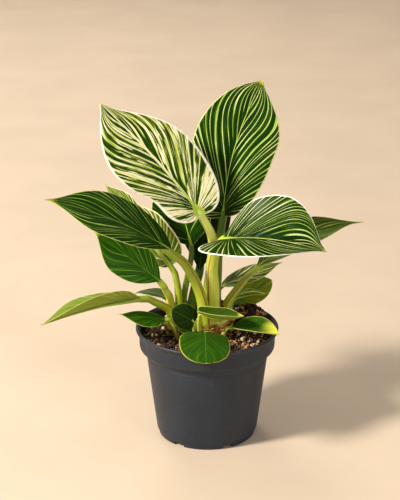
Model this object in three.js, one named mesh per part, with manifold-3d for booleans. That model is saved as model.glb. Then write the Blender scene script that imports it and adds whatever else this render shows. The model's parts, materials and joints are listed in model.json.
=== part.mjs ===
// A variegated philodendron in a round nursery pot, in millimetres, +Z up.
// The origin is the middle of the flat disc under the pot. The plant faces -Y.
//
// The pot is a turned shell, the soil fills it, two short stems stand in the soil, and every leaf is one
// closed body: a stalk that runs on as the rib under the blade, and a thin blade bent in two curves.

import * as THREE from "three";
import { mergeVertices } from "three/addons/utils/BufferGeometryUtils.js";
import Module from "manifold-3d";

const wasm = await Module();
wasm.setup();

// ---------------------------------------------------------------- driving dimensions

const GAP = 0.3; // clearance between pieces that touch

const POT = {
  height: 96,
  rimRadius: 60, // outside of the rolled lip
  bandRadius: 57, // outside of the band under the lip
  bandHeight: 18, // lip included
  lipHeight: 3.5,
  shoulderRadius: 51.4, // top of the tapered wall, under the band
  footRadius: 42.6, // bottom of the tapered wall
  footHeight: 5,
  wall: 1.5,
  floorTop: 4.2,
  discRadius: 16, // flat disc that the pot stands on, with the foot ring
  recess: 2.4, // depth of the ring-shaped hollow under the floor
  segments: 40,
};

const NOTCH = { count: 6, width: 9.5, height: 2.8, depth: 8, turn: -95 }; // in the foot ring; degrees
const DRAIN = { radius: 3.5, ring: 29, segments: 16 };

const SOIL = {
  level: 87.5,
  rings: 12,
  segments: 36,
  grain: 1.5, // height of the lumps
  mound: { x: 37, y: 24, height: 15, spread: 13 }, // heaped up behind on the right
};

const MAIN_STEM = { x: 4, y: -3, bottom: 79, top: 107.5, radius: 11.5, topRadius: 14.2 };
const SIDE_STEM = { x: -26, y: 6, bottom: 79, top: 100, radius: 8.5, topRadius: 11 };
const STEM_SEGMENTS = 24;

const BLADE = { thick: 0.8, steepest: 60 }; // the blade's thickness is exact up to this angle, in degrees
const RIB_DROP = 0.6; // how far the rib hangs under the blade, as a share of its own radius
const RIB_STATIONS = [0.3, 0.6, 0.85]; // along the blade
const RIB_RADII = [0.6, 0.42, 0.25]; // shares of the stalk's upper radius
const SMALLEST_RIB = 0.5;

// How the veins run, which the rows of a blade follow.
const VEINS = {
  fan: 0.1, // stretch of the midrib that the base fan leaves from, as a share of the blade
  wedgeFan: 0.8, // how much longer that is on a wedge-shaped base, per share of the wedge's depth
  crowding: 0.6, // below 1, the veins leave the midrib closer together near the base
  lean: 1.8, // above 1, the veins near the tip run further forward
  forward: 1.25, // above 1, a vein leaves the midrib squarely and turns towards the tip
  outward: 0.9,
};

const DRIP_POINT = 12; // the higher, the finer the drawn-out points of the leaves
const FULLNESS = { base: 0.35, tip: 0.42 }; // how far the two curves of an outline hug its widest place

// How finely a leaf is divided: rows of the base fan, rows from there to the tip, columns on each side,
// and the sides and steps of the stalk.
const LARGE = { fan: 4, rows: 7, columns: 3, sides: 7, steps: 12 };
const SMALL = { fan: 3, rows: 4, columns: 2, sides: 6, steps: 7 };

// Each half of a blade: width w from midrib to margin, and where along the blade it is widest; the base
// curve leaves the joint towards (-lobe, full * w) and the tip curve arrives from (1 - tip, taper * w).
// fold is the angle at which the half rises from the midrib and curl the further turn out to its margin.
const half = (w, widest, lobe, full, tip, taper, fold, curl, dent = null) => ({
  w, widest, lobe, full, tip, taper, fold, curl, dent,
});

// root: lower end of the stalk. via: points that the stalk passes. stalk: its radii at root and joint.
// joint: where the blade begins. tip: its point. face: the way the upper side looks. arch and sway: how
// far the midrib bows out towards the upper side and the right half, as shares of the blade's length.
// drip: share drawn out into a fine point. detail: how finely the leaf is divided. tint: its colour.
const LEAVES = {
  leaf_tall_pale: {
    detail: LARGE, tint: "cream", drip: 0.045,
    root: [-3.2, 6.4, 99], via: [[1.8, 6.6, 132], [4.6, 3, 160], [3.8, -0.6, 176]], stalk: [4.6, 3.4],
    joint: [-5, -6, 196], tip: [-87, -4, 291], face: [0.2, -0.95, 0.3], arch: 0.02, sway: 0.02,
    right: half(32.5, 0.42, 0.1, 0.72, 0.14, 0.22, 8, -12),
    left: half(34, 0.58, 0.03, 0.62, 0.06, 0.46, 12, -10, { at: 0.27, depth: 0.2, spread: 0.14 }),
  },
  leaf_tall_dark: {
    detail: LARGE, tint: "striped", drip: 0.03,
    root: [7, 11, 99], via: [[8.5, 13, 137], [10, 12.5, 163]], stalk: [4.2, 3.2],
    joint: [13, 12, 189], tip: [46, 42, 297], face: [-0.1, -0.95, 0.3], arch: 0.03, sway: -0.055,
    right: half(34, 0.6, 0.02, 0.55, 0.07, 0.42, 10, -12),
    left: half(35, 0.5, 0.1, 0.7, 0.05, 0.5, 10, -12),
  },
  leaf_right_broad: {
    detail: LARGE, tint: "striped", drip: 0.06,
    root: [5, -3, 99], via: [[4, -4, 134], [4, -6, 155]], stalk: [6.6, 4.4],
    joint: [12, -12, 177], tip: [95, -45, 178], face: [-0.25, -0.58, 0.78], arch: 0.1, sway: 0,
    right: half(38, 0.38, 0.34, 0.6, 0.1, 0.3, 42, -16),
    left: half(37, 0.56, -0.16, 0.4, 0.08, 0.48, 30, -10),
  },
  leaf_left_broad: {
    detail: LARGE, tint: "striped", drip: 0.05,
    root: [-1, -14, 99], via: [[-4, -14, 124], [-14, -15, 150]], stalk: [5.4, 3.4],
    joint: [-29, -18, 169], tip: [-129, -50, 224], face: [0.5, -0.25, 0.8], arch: 0.055, sway: 0,
    right: half(33, 0.46, -0.02, 0.6, 0.12, 0.2, 8, -10),
    left: half(27, 0.6, -0.14, 0.28, 0.12, 0.22, 8, -10),
  },
  leaf_left_low: {
    detail: LARGE, tint: "green", drip: 0.03,
    root: [-31, 5, 94], via: [[-31, 6, 117], [-35, 6, 125]], stalk: [3.6, 2.6],
    joint: [-39, 6, 133], tip: [-93, 0, 179], face: [0.15, -0.85, 0.45], arch: 0.02, sway: 0,
    right: half(17, 0.5, -0.08, 0.32, 0.12, 0.2, 8, -10),
    left: half(18.5, 0.56, -0.1, 0.25, 0.12, 0.28, 8, -10),
  },
  leaf_left_rear: {
    detail: LARGE, tint: "olive", drip: 0.04,
    root: [-25, 9, 94], via: [[-24, 10, 117], [-26, 13, 132]], stalk: [3.4, 2.3],
    joint: [-30, 18, 143], tip: [-87, 50, 205], face: [0.3, 0.8, 0.4], arch: 0, sway: 0,
    right: half(25, 0.4, -0.02, 0.6, 0.12, 0.15, 8, -5),
    left: half(29, 0.36, 0.06, 0.95, 0.1, 0.34, 4, -5, { at: 0.62, depth: 0.3, spread: 0.12 }),
  },
  leaf_centre_left: {
    detail: LARGE, tint: "striped", drip: 0.03,
    root: [-19, 13, 94], via: [[-20, 15, 112], [-17, 16, 131], [-14, 17, 147]], stalk: [2.9, 2.2],
    joint: [-13, 20, 159], tip: [-33, 48, 226], face: [0.1, -0.9, 0.4], arch: 0.02, sway: 0,
    right: half(25, 0.46, -0.12, 0.5, 0.12, 0.15, 12, -8),
    left: half(25, 0.46, -0.12, 0.5, 0.12, 0.15, -6, -4),
  },
  leaf_centre_rear: {
    detail: LARGE, tint: "striped", drip: 0.03,
    root: [-12, 17, 80], via: [[-13, 20, 106], [-10, 22, 122]], stalk: [4.2, 3.8],
    joint: [-7, 25, 134], tip: [7, 70, 220], face: [-0.1, -0.9, 0.4], arch: 0.02, sway: 0,
    right: half(21, 0.5, -0.18, 0.32, 0.12, 0.15, 12, -8),
    left: half(21, 0.5, -0.18, 0.32, 0.12, 0.15, 12, -8),
  },
  leaf_right_long: {
    detail: LARGE, tint: "striped", drip: 0,
    root: [15, 1, 99], via: [[16, 2, 114], [28, 8, 129]], stalk: [3.8, 2.6],
    joint: [41, 15, 142], tip: [134, 55, 169], face: [0, -0.35, 0.94], arch: 0.1, sway: 0,
    right: half(18, 0.45, -0.1, 0.4, 0.24, 0.1, 25, -8),
    left: half(18, 0.45, -0.1, 0.4, 0.24, 0.1, 25, -8),
  },
  leaf_left_drooping: {
    detail: LARGE, tint: "olive", drip: 0,
    root: [-29, -3, 94], via: [[-30, -3, 110], [-43, -8, 120]], stalk: [4.4, 2.8],
    joint: [-55, -14, 127], tip: [-134, -58, 120], face: [0, -0.1, 1], arch: 0.035, sway: 0,
    right: half(14, 0.55, -0.1, 0.25, 0.15, 0.15, 22, -5),
    left: half(16, 0.36, -0.1, 0.3, 0.2, 0.1, 60, 0),
  },
  leaf_right_slim: {
    detail: SMALL, tint: "green", drip: 0.03,
    root: [12, 15, 82], via: [[10, 18, 114]], stalk: [2.4, 1.6],
    joint: [12, 26, 121], tip: [65, 50, 134], face: [0, -0.3, 1], arch: 0.02, sway: 0,
    right: half(10.5, 0.5, -0.05, 0.45, 0.12, 0.2, 6, -10),
    left: half(10.5, 0.5, -0.05, 0.45, 0.12, 0.2, 6, -10),
  },
  leaf_right_olive: {
    detail: SMALL, tint: "olive", drip: 0,
    root: [22, 12, 82], via: [[20, 20, 105]], stalk: [2.4, 1.6],
    joint: [25, 28, 106], tip: [56, 45, 120], face: [0.1, 0.9, 0.1], arch: 0, sway: 0,
    right: half(14, 0.5, -0.02, 0.6, 0.1, 0.3, 4, -5),
    left: half(12, 0.6, -0.02, 0.6, 0.02, 0.6, 4, -5),
  },
  leaf_right_folded: {
    detail: SMALL, tint: "olive", drip: 0,
    root: [21, 3, 82], via: [[19, 8, 108]], stalk: [2.2, 1.4],
    joint: [23, 12, 116], tip: [49, 16, 118], face: [0, 0.2, 1], arch: 0.05, sway: 0,
    right: half(9, 0.45, -0.03, 0.5, 0.12, 0.2, 30, -10),
    left: half(9, 0.45, -0.03, 0.5, 0.12, 0.2, 30, -10),
  },
  leaf_left_behind: {
    detail: SMALL, tint: "green", drip: 0,
    root: [-34, 19, 82], via: [[-31, 20, 106]], stalk: [2.2, 1.5],
    joint: [-34, 26, 110], tip: [-63, 45, 107], face: [0, 0.1, 1], arch: 0.08, sway: 0,
    right: half(12, 0.45, -0.03, 0.5, 0.12, 0.15, 12, -10),
    left: half(12, 0.45, -0.03, 0.5, 0.12, 0.15, 12, -10),
  },
  leaf_left_soil: {
    detail: SMALL, tint: "green", drip: 0.02,
    root: [-22, -12, 80], via: [[-29, -12, 104]], stalk: [2.2, 1.6],
    joint: [-35, -14, 107], tip: [-72, -34, 120], face: [0, -0.55, 0.83], arch: 0, sway: 0,
    right: half(6.8, 0.42, -0.03, 0.5, 0.12, 0.15, -4, -6),
    left: half(10, 0.48, -0.05, 0.45, 0.12, 0.25, 5, -10),
  },
  leaf_round_dark: {
    detail: SMALL, tint: "striped", drip: 0,
    root: [-10, -15, 80], via: [], stalk: [2.2, 1.8],
    joint: [-11, -24, 109], tip: [-29, -31, 123], face: [0.1, -0.9, 0.45], arch: 0.02, sway: 0,
    right: half(10.5, 0.45, 0.15, 0.8, 0.1, 0.7, 5, -10),
    left: half(10.5, 0.45, 0.15, 0.8, 0.1, 0.7, 5, -10),
  },
  leaf_cupped: {
    detail: SMALL, tint: "olive", drip: 0,
    root: [-3, -19, 80], via: [[-7, -23, 102]], stalk: [2.2, 1.4],
    joint: [-5.5, -27, 117.5], tip: [30, -33, 118], face: [0, -0.3, 0.95], arch: -0.11, sway: 0,
    right: half(8, 0.5, 0.3, 0.7, 0.12, 0.4, 50, 15),
    left: half(11, 0.5, 0.3, 0.7, 0.12, 0.4, 10, 10),
  },
  leaf_right_soil: {
    detail: SMALL, tint: "green", drip: 0,
    root: [12.5, -16.5, 80], via: [[13, -17.5, 97]], stalk: [2.2, 1.6],
    joint: [20, -16.5, 101], tip: [59, -32, 101], face: [0.1, -0.6, 0.8], arch: 0.05, sway: 0,
    right: half(11, 0.5, -0.1, 0.3, 0.1, 0.3, 50, -5),
    left: half(13, 0.52, -0.1, 0.3, 0.08, 0.45, 8, -10),
  },
  leaf_rim_round: {
    detail: SMALL, tint: "green", drip: 0,
    root: [4, -19, 80], via: [[2, -21, 95]], stalk: [2.4, 1.8],
    joint: [-2, -27, 101], tip: [-1, -77, 95], face: [0, -0.2, 1], arch: 0.08, sway: 0,
    right: half(21.5, 0.42, 0.36, 1, 0, 0.8, 0, -14),
    left: half(20, 0.5, -0.04, 0.85, 0, 0.9, 0, -14),
  },
  leaf_small_dark: {
    detail: SMALL, tint: "striped", drip: 0,
    root: [-15, -10, 80], via: [], stalk: [1.6, 1.2],
    joint: [-13, -13, 98], tip: [-24, -20, 100], face: [0, -0.6, 0.8], arch: 0.02, sway: 0,
    right: half(6, 0.45, 0.1, 0.8, 0.2, 0.5, 5, -10),
    left: half(6, 0.45, 0.1, 0.8, 0.2, 0.5, 5, -10),
  },
};

// ---------------------------------------------------------------- materials

const finish = (color, roughness) => new THREE.MeshStandardMaterial({ color, roughness, metalness: 0 });
const potPlastic = finish("#3a3b3f", 0.6);
const pottingMix = finish("#3a2416", 0.95);
const stemGreen = finish("#9fae3a", 0.5);
const leafFinish = {
  cream: finish("#b3bb86", 0.4),
  striped: finish("#2f4f22", 0.4),
  green: finish("#33601f", 0.4),
  olive: finish("#7e8b45", 0.5),
};

// ---------------------------------------------------------------- joining and cutting

function solidOf(geometry) {
  const bare = geometry.clone();
  bare.deleteAttribute("normal");
  bare.deleteAttribute("uv");
  const merged = mergeVertices(bare, 1e-4);
  return new wasm.Manifold(
    new wasm.Mesh({
      numProp: 3,
      vertProperties: merged.attributes.position.array,
      triVerts: new Uint32Array(merged.index.array),
    }),
  );
}

function meshOf(solid, name, material) {
  const { numProp, vertProperties, triVerts } = solid.getMesh();
  const positions = new Float32Array((vertProperties.length / numProp) * 3);
  for (let i = 0; i < positions.length / 3; i++) {
    positions.set(vertProperties.subarray(i * numProp, i * numProp + 3), i * 3);
  }
  const geometry = new THREE.BufferGeometry()
    .setAttribute("position", new THREE.BufferAttribute(positions, 3))
    .setIndex(new THREE.BufferAttribute(triVerts, 1));
  geometry.computeVertexNormals();
  const mesh = new THREE.Mesh(geometry, material);
  mesh.name = name;
  return mesh;
}

const largestBody = (solid) => solid.decompose().sort((a, b) => b.volume() - a.volume())[0];

function indexed(points, faces) {
  return new THREE.BufferGeometry().setFromPoints(points).setIndex(faces);
}

// A profile of [radius, height] turned about the Z axis.
function turned(profile, segments) {
  const points = profile.map(([radius, height]) => new THREE.Vector2(radius, height));
  return new THREE.LatheGeometry(points, segments).rotateX(Math.PI / 2);
}

// ---------------------------------------------------------------- pot and soil

function pot() {
  const shoulder = POT.height - POT.bandHeight;
  const lip = POT.height - POT.lipHeight;
  const profile = [
    [0, 0],
    [POT.discRadius, 0],
    [POT.discRadius + 1.5, POT.recess],
    [POT.footRadius - 5.6, POT.recess],
    [POT.footRadius - 4.4, 0],
    [POT.footRadius - 2.2, 0],
    [POT.footRadius - 1.6, 0.6],
    [POT.footRadius - 1.2, POT.footHeight - 1],
    [POT.footRadius, POT.footHeight],
    [POT.shoulderRadius, shoulder - 3.5],
    [POT.shoulderRadius + 0.8, shoulder - 2.4],
    [POT.bandRadius - 2, shoulder - 1],
    [POT.bandRadius - 0.4, shoulder + 0.6],
    [POT.bandRadius, shoulder + 2.5],
    [POT.bandRadius + 0.2, lip - 0.3],
    [POT.rimRadius - 0.7, lip + 0.3],
    [POT.rimRadius, lip + 1.5],
    [POT.rimRadius, POT.height - 0.8],
    [POT.rimRadius - 0.7, POT.height],
    [POT.rimRadius - 1.8, POT.height],
    [POT.bandRadius - 0.8, POT.height - 2],
    [POT.bandRadius - POT.wall, shoulder + 2.5],
    [POT.shoulderRadius - POT.wall + 0.3, shoulder - 2],
    [POT.footRadius - POT.wall - 0.1, POT.floorTop + 1.3],
    [POT.footRadius - POT.wall - 1.3, POT.floorTop],
    [0, POT.floorTop],
  ];
  let shell = solidOf(turned(profile, POT.segments));
  for (let i = 0; i < NOTCH.count; i++) {
    const turn = THREE.MathUtils.degToRad(NOTCH.turn + (i * 360) / NOTCH.count + 180 / NOTCH.count);
    const notch = new THREE.BoxGeometry(NOTCH.depth, NOTCH.width, 2 * NOTCH.height)
      .translate(POT.footRadius - 3, 0, 0)
      .rotateZ(turn);
    const drain = new THREE.CylinderGeometry(DRAIN.radius, DRAIN.radius, 3 * POT.floorTop, DRAIN.segments)
      .rotateX(Math.PI / 2)
      .translate(DRAIN.ring, 0, 0)
      .rotateZ(turn);
    shell = shell.subtract(solidOf(notch)).subtract(solidOf(drain));
  }
  return shell;
}

// Lumpy top of the potting mix at a point, flat where it meets the pot's wall.
function soilHeight(x, y) {
  const { mound, grain, level } = SOIL;
  const away = ((x - mound.x) ** 2 + (y - mound.y) ** 2) / (2 * mound.spread ** 2);
  const lumps =
    Math.sin(0.83 * x + 1.9) * Math.cos(0.71 * y - 0.4) +
    0.6 * Math.sin(1.57 * x - 0.9 * y) +
    0.4 * Math.cos(0.6 * x + 1.43 * y + 1.1);
  return level + mound.height * Math.exp(-away) + (grain * lumps) / 2;
}

function soil() {
  const shoulder = POT.height - POT.bandHeight;
  const inside = POT.bandRadius - POT.wall - GAP;
  const profile = [
    [0, POT.floorTop + GAP],
    [POT.footRadius - POT.wall - 1.5 - GAP, POT.floorTop + GAP],
    [POT.footRadius - POT.wall - 0.3 - GAP, POT.floorTop + 1.5 + GAP],
    [POT.shoulderRadius - POT.wall - GAP, shoulder - 2],
    [inside - 0.1, shoulder + 3],
  ];
  for (let i = 0; i < SOIL.rings; i++) profile.push([inside * (1 - i / SOIL.rings), SOIL.level]);
  profile.push([0, SOIL.level]);
  const body = turned(profile, SOIL.segments);
  const at = body.attributes.position;
  for (let i = 0; i < at.count; i++) {
    if (at.getZ(i) > SOIL.level - 1) at.setZ(i, soilHeight(at.getX(i), at.getY(i)));
  }
  return solidOf(body);
}

// A short stem, wider at its top, where the leaf stalks are set in.
function stem({ x, y, bottom, top, radius, topRadius }) {
  const profile = [
    [0, bottom],
    [radius - 2, bottom],
    [radius, bottom + 4],
    [radius + 0.2, top - 13],
    [topRadius - 0.8, top - 6],
    [topRadius, top - 2.5],
    [topRadius - 1.6, top - 0.4],
    [0, top],
  ];
  return solidOf(turned(profile, STEM_SEGMENTS).translate(x, y, 0));
}

// ---------------------------------------------------------------- leaves

const vector = (p) => new THREE.Vector3(...p);
const add = (p, ...terms) =>
  terms.reduce((sum, [v, scale]) => sum.addScaledVector(v, scale), p.clone());

const cubic = (p0, p1, p2, p3, t) =>
  (1 - t) ** 3 * p0 + 3 * t * (1 - t) ** 2 * p1 + 3 * t * t * (1 - t) * p2 + t ** 3 * p3;

// The midrib of a leaf: a curve from joint to tip with its own axes at every station.
class Midrib {
  constructor(leaf) {
    this.joint = vector(leaf.joint);
    this.tip = vector(leaf.tip);
    this.face = vector(leaf.face);
    const span = this.tip.clone().sub(this.joint);
    const length = span.length();
    const along = span.clone().normalize();
    const up = add(this.face, [along, -this.face.dot(along)]).normalize();
    const side = along.clone().cross(up);
    this.bend = add(
      this.joint.clone().add(this.tip).multiplyScalar(0.5),
      [up, 2 * leaf.arch * length],
      [side, 2 * leaf.sway * length],
    );
  }

  // Lobes that reach back past the joint follow the straight line through it.
  point(s) {
    const { joint, bend, tip } = this;
    if (s < 0) return add(joint, [bend.clone().sub(joint), 2 * s]);
    return joint.clone().multiplyScalar((1 - s) ** 2).addScaledVector(bend, 2 * s * (1 - s))
      .addScaledVector(tip, s * s);
  }

  axes(s) {
    const { joint, bend, tip, face } = this;
    const t = THREE.MathUtils.clamp(s, 0, 1);
    const along = bend.clone().sub(joint).multiplyScalar(1 - t)
      .addScaledVector(tip.clone().sub(bend), t).normalize();
    const up = add(face, [along, -face.dot(along)]).normalize();
    return { up, side: along.clone().cross(up) };
  }
}

// A point on the outline of one half, from the base (r = 0) past the widest place (r = 0.5) to the tip
// (r = 1): x along the blade as a share of its length, y out from the midrib in millimetres.
function outline(part, drip, r) {
  const { w, widest, lobe, full, tip, taper, dent } = part;
  const t = r < 0.5 ? 2 * r : 2 * r - 1;
  const x = r < 0.5
    ? cubic(0, -lobe, FULLNESS.base * widest, widest, t)
    : cubic(widest, widest + FULLNESS.tip * (1 - widest), 1 - tip, 1, t) - drip * (t - t ** DRIP_POINT);
  let y = r < 0.5 ? cubic(0, full * w, w, w, t) : cubic(w, w, taper * w, 0, t);
  if (dent) y *= 1 - dent.depth * Math.exp(-(((x - dent.at) / dent.spread) ** 2));
  return { x, y };
}

// The place of (x, y) on the bent blade, and the step from there to its upper face. The step goes along
// the midrib's own up, longer where the blade is steep. hand is 1 on the right half and -1 on the left.
function bladePoint(midrib, part, hand, x, y) {
  const fold = THREE.MathUtils.degToRad(part.fold);
  const curl = THREE.MathUtils.degToRad(part.curl) || 1e-4;
  const reach = part.w / curl;
  const angle = fold + (curl * y) / part.w;
  const { up, side } = midrib.axes(x);
  const place = add(
    midrib.point(x),
    [side, hand * reach * (Math.sin(angle) - Math.sin(fold))],
    [up, reach * (Math.cos(fold) - Math.cos(angle))],
  );
  const slope = Math.min(Math.abs(angle), THREE.MathUtils.degToRad(BLADE.steepest));
  const step = up.clone().multiplyScalar(BLADE.thick / 2 / Math.cos(slope));
  return { place, step };
}

// Rows of the blade follow its veins: each starts on the midrib at station s and ends on the margin at r.
// A fan of rows leaves the joint, over a longer stretch where the base is a wedge instead of lobes, and
// the others leave ever closer to the tip.
function veinRows({ detail, right, left }) {
  const { fan, rows } = detail;
  const wedge = Math.max(0, -right.lobe, -left.lobe);
  const fanEnd = VEINS.fan + VEINS.wedgeFan * wedge;
  const list = [];
  for (let i = 0; i < fan; i++) list.push({ s: (fanEnd * i) / fan, r: (0.5 * i) / fan });
  for (let i = 0; i <= rows; i++) {
    const share = 1 - (1 - i / rows) ** VEINS.crowding;
    list.push({ s: fanEnd + (1 - fanEnd) * share, r: 1 - 0.5 * (1 - share) ** VEINS.lean });
  }
  return list;
}

// The blade as a closed sheet: its middle surface pushed out to both sides, split alike on both.
function blade(leaf) {
  const midrib = new Midrib(leaf);
  const rows = veinRows(leaf);
  const last = rows.length - 1;
  const { columns } = leaf.detail;
  const centre = (s) => bladePoint(midrib, leaf.right, 1, s, 0);
  const points = [centre(0), centre(1)]; // joint and tip, shared by every column
  const index = new Map();
  const idOf = (hand, row, column) => {
    if (row === 0) return 0;
    if (row === last) return 1;
    const key = column === 0 ? `mid ${row}` : `${hand} ${row} ${column}`;
    if (!index.has(key)) {
      const part = hand > 0 ? leaf.right : leaf.left;
      const { s, r } = rows[row];
      const end = outline(part, leaf.drip, r);
      const v = column / columns;
      index.set(key, points.length);
      const x = s + (end.x - s) * v ** VEINS.forward;
      points.push(bladePoint(midrib, part, hand, x, end.y * v ** VEINS.outward));
    }
    return index.get(key);
  };

  const faces = [];
  const addFace = (a, b, c, hand) => {
    if (a === b || b === c || a === c) return;
    faces.push(...(hand > 0 ? [a, b, c] : [a, c, b]));
  };
  for (const hand of [1, -1]) {
    for (let row = 0; row < last; row++) {
      for (let column = 0; column < columns; column++) {
        const a = idOf(hand, row, column);
        const b = idOf(hand, row, column + 1);
        const c = idOf(hand, row + 1, column + 1);
        const d = idOf(hand, row + 1, column);
        addFace(a, b, c, hand);
        addFace(a, c, d, hand);
      }
    }
  }

  const upper = points.map(({ place, step }) => add(place, [step, 1]));
  const lower = points.map(({ place, step }) => add(place, [step, -1]));
  const under = points.length;
  const closed = [...faces];
  for (let i = 0; i < faces.length; i += 3) {
    closed.push(faces[i] + under, faces[i + 2] + under, faces[i + 1] + under);
  }
  for (const hand of [1, -1]) {
    for (let row = 0; row < last; row++) {
      const a = idOf(hand, row, columns);
      const b = idOf(hand, row + 1, columns);
      const rim = [a, a + under, b + under, a, b + under, b];
      closed.push(...(hand > 0 ? rim : rim.reverse()));
    }
  }
  return indexed([...upper, ...lower], closed);
}

// A closed tube through points, with a radius at each of them.
function taperedTube(points, radii, sides, steps) {
  const curve = new THREE.CatmullRomCurve3(points, false, "catmullrom", 0.5);
  const vertices = [];
  let across = new THREE.Vector3(1, 0, 0);
  for (let i = 0; i <= steps; i++) {
    const t = i / steps;
    const centre = curve.getPoint(t);
    const along = curve.getTangent(t);
    across = add(across, [along, -across.dot(along)]).normalize();
    const other = along.clone().cross(across);
    const place = t * (radii.length - 1);
    const before = Math.min(Math.floor(place), radii.length - 2);
    const radius = THREE.MathUtils.lerp(radii[before], radii[before + 1], place - before);
    for (let k = 0; k < sides; k++) {
      const turn = (2 * Math.PI * k) / sides;
      vertices.push(add(centre, [across, radius * Math.cos(turn)], [other, radius * Math.sin(turn)]));
    }
  }
  const faces = [];
  for (let i = 0; i < steps; i++) {
    for (let k = 0; k < sides; k++) {
      const a = i * sides + k;
      const b = i * sides + ((k + 1) % sides);
      faces.push(a, b, b + sides, a, b + sides, a + sides);
    }
  }
  const lastRing = steps * sides;
  for (let k = 1; k < sides - 1; k++) {
    faces.push(0, k + 1, k, lastRing, lastRing + k, lastRing + k + 1);
  }
  return indexed(vertices, faces);
}

// The stalk runs from its root to the joint and on as the rib under the blade. spare widens it.
function stalk(leaf, spare = 0) {
  const midrib = new Midrib(leaf);
  const [rootRadius, neckRadius] = leaf.stalk;
  const points = [vector(leaf.root), ...leaf.via.map(vector), midrib.point(0)];
  const joint = points.length - 1;
  const radii = points.map((_, i) => THREE.MathUtils.lerp(rootRadius, neckRadius, i / joint));
  if (spare === 0) {
    RIB_STATIONS.forEach((s, i) => {
      const radius = Math.max(SMALLEST_RIB, neckRadius * RIB_RADII[i]);
      points.push(add(midrib.point(s), [midrib.axes(s).up, -RIB_DROP * radius]));
      radii.push(radius);
    });
  } else {
    const down = points[0].clone().sub(points[1]).normalize();
    points[0].addScaledVector(down, spare);
  }
  const { sides, steps } = leaf.detail;
  return taperedTube(points, radii.map((radius) => radius + spare), sides, steps);
}

const leafSolid = (leaf) => largestBody(solidOf(blade(leaf)).add(solidOf(stalk(leaf))));

// ---------------------------------------------------------------- the plant in its pot

const plant = new THREE.Group();
plant.add(meshOf(pot(), "pot", potPlastic));

let mix = soil();
let mainStem = stem(MAIN_STEM);
let sideStem = stem(SIDE_STEM);
for (const each of [MAIN_STEM, SIDE_STEM]) {
  const hole = {
    ...each,
    bottom: each.bottom - GAP,
    radius: each.radius + GAP,
    topRadius: each.topRadius + GAP,
  };
  mix = mix.subtract(stem(hole));
}

for (const [name, leaf] of Object.entries(LEAVES)) {
  const socket = solidOf(stalk(leaf, GAP));
  mix = mix.subtract(socket);
  mainStem = mainStem.subtract(socket);
  sideStem = sideStem.subtract(socket);
  plant.add(meshOf(leafSolid(leaf), name, leafFinish[leaf.tint]));
}

plant.add(meshOf(largestBody(mix), "soil", pottingMix));
plant.add(meshOf(largestBody(mainStem), "stem_main", stemGreen));
plant.add(meshOf(largestBody(sideStem), "stem_side", stemGreen));

export default plant;
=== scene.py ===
"""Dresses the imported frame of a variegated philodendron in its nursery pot.

The scene is in metres. Sizes here are in millimetres, in the frame's own axes, and MM turns them into
metres.
"""

import json
import random
from collections import namedtuple
from math import atan2, cos, exp, hypot, pi, radians, sin, sqrt
from types import SimpleNamespace as Sizes

import bmesh
import bpy
import numpy as np
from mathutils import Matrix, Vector, noise


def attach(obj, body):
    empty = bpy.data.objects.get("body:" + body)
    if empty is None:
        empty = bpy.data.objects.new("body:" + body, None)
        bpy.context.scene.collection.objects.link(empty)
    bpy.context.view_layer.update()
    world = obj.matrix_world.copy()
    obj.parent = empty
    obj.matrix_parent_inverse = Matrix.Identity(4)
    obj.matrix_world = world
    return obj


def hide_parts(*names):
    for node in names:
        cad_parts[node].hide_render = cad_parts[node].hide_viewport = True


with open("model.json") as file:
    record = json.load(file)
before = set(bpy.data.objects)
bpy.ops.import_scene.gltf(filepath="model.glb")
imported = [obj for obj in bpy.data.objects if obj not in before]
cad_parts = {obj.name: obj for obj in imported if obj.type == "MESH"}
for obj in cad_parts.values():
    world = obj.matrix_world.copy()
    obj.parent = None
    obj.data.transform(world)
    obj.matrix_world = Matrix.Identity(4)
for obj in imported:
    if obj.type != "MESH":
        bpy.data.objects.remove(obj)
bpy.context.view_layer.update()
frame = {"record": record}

MM = 0.001
BODY = "root"
AXIS = 0.01  # the least radius of what is turned about an axis

# ---------------- driving dimensions

POT = Sizes(
    height=96,
    rim=60,  # outer radii, of the lip first
    band=57,
    shoulder=51.4,
    foot=42.6,
    disc=16,
    band_height=18,
    foot_height=5,
    recess=2.4,
    floor_top=4.2,
    wall=1.5,
    segments=192,
)
SHOULDER = POT.height - POT.band_height
NOTCH = Sizes(count=6, width=9.5, height=2.8, depth=8, turn=-95)  # in the foot ring; turn in degrees
DRAIN = Sizes(radius=3.5, ring=29)  # holes in the floor, and the radius of the ring that they lie on
CORNER = Sizes(share=0.3, longest=1.2, steps=4)  # how far the pot's corners are rounded
CREASE = 40  # degrees: the pot's edges that turn by more stay sharp

SOIL = Sizes(level=87.5, radius=55.3, grain=1.5, rings=66, segments=220)  # grain: height of its lumps
MOUND = Sizes(x=37, y=24, height=15, spread=13)  # the heap behind on the right

STEMS = {
    "stem_main": Sizes(x=4, y=-3, bottom=79, top=107.5, radius=11.5, top_radius=14.2),
    "stem_side": Sizes(x=-26, y=6, bottom=79, top=100, radius=8.5, top_radius=11),
}
# Of both stems. rise: a stem reaches its height before its last rows, which close its top over the share
# closing. lobe and lobe_width: how much wider it is under a stalk, as a share, and over what angle. dip: how
# far its top sinks between the lobes. wrinkles and rings: heights of its uneven skin.
STEM_FORM = Sizes(
    rows=26, sides=96, rise=1.12, closing=0.14, lobe=0.1, lobe_width=0.5, dip=5, wrinkles=0.25, rings=0.35
)

BLADE_MIDDLE = 0.75  # thickness of a blade by its midrib
BLADE_MARGIN = 0.4  # and by its margin
BLADE_RIM = 0.18  # how far the middle of the margin stands out
NO_CURL = 1e-4  # radians, for a half that is flat
# Handles of an outline's curves before and behind its widest place, as shares of the way from the base to
# there and from there to the tip.
HANDLES = Sizes(before=0.35, behind=0.42)
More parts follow.
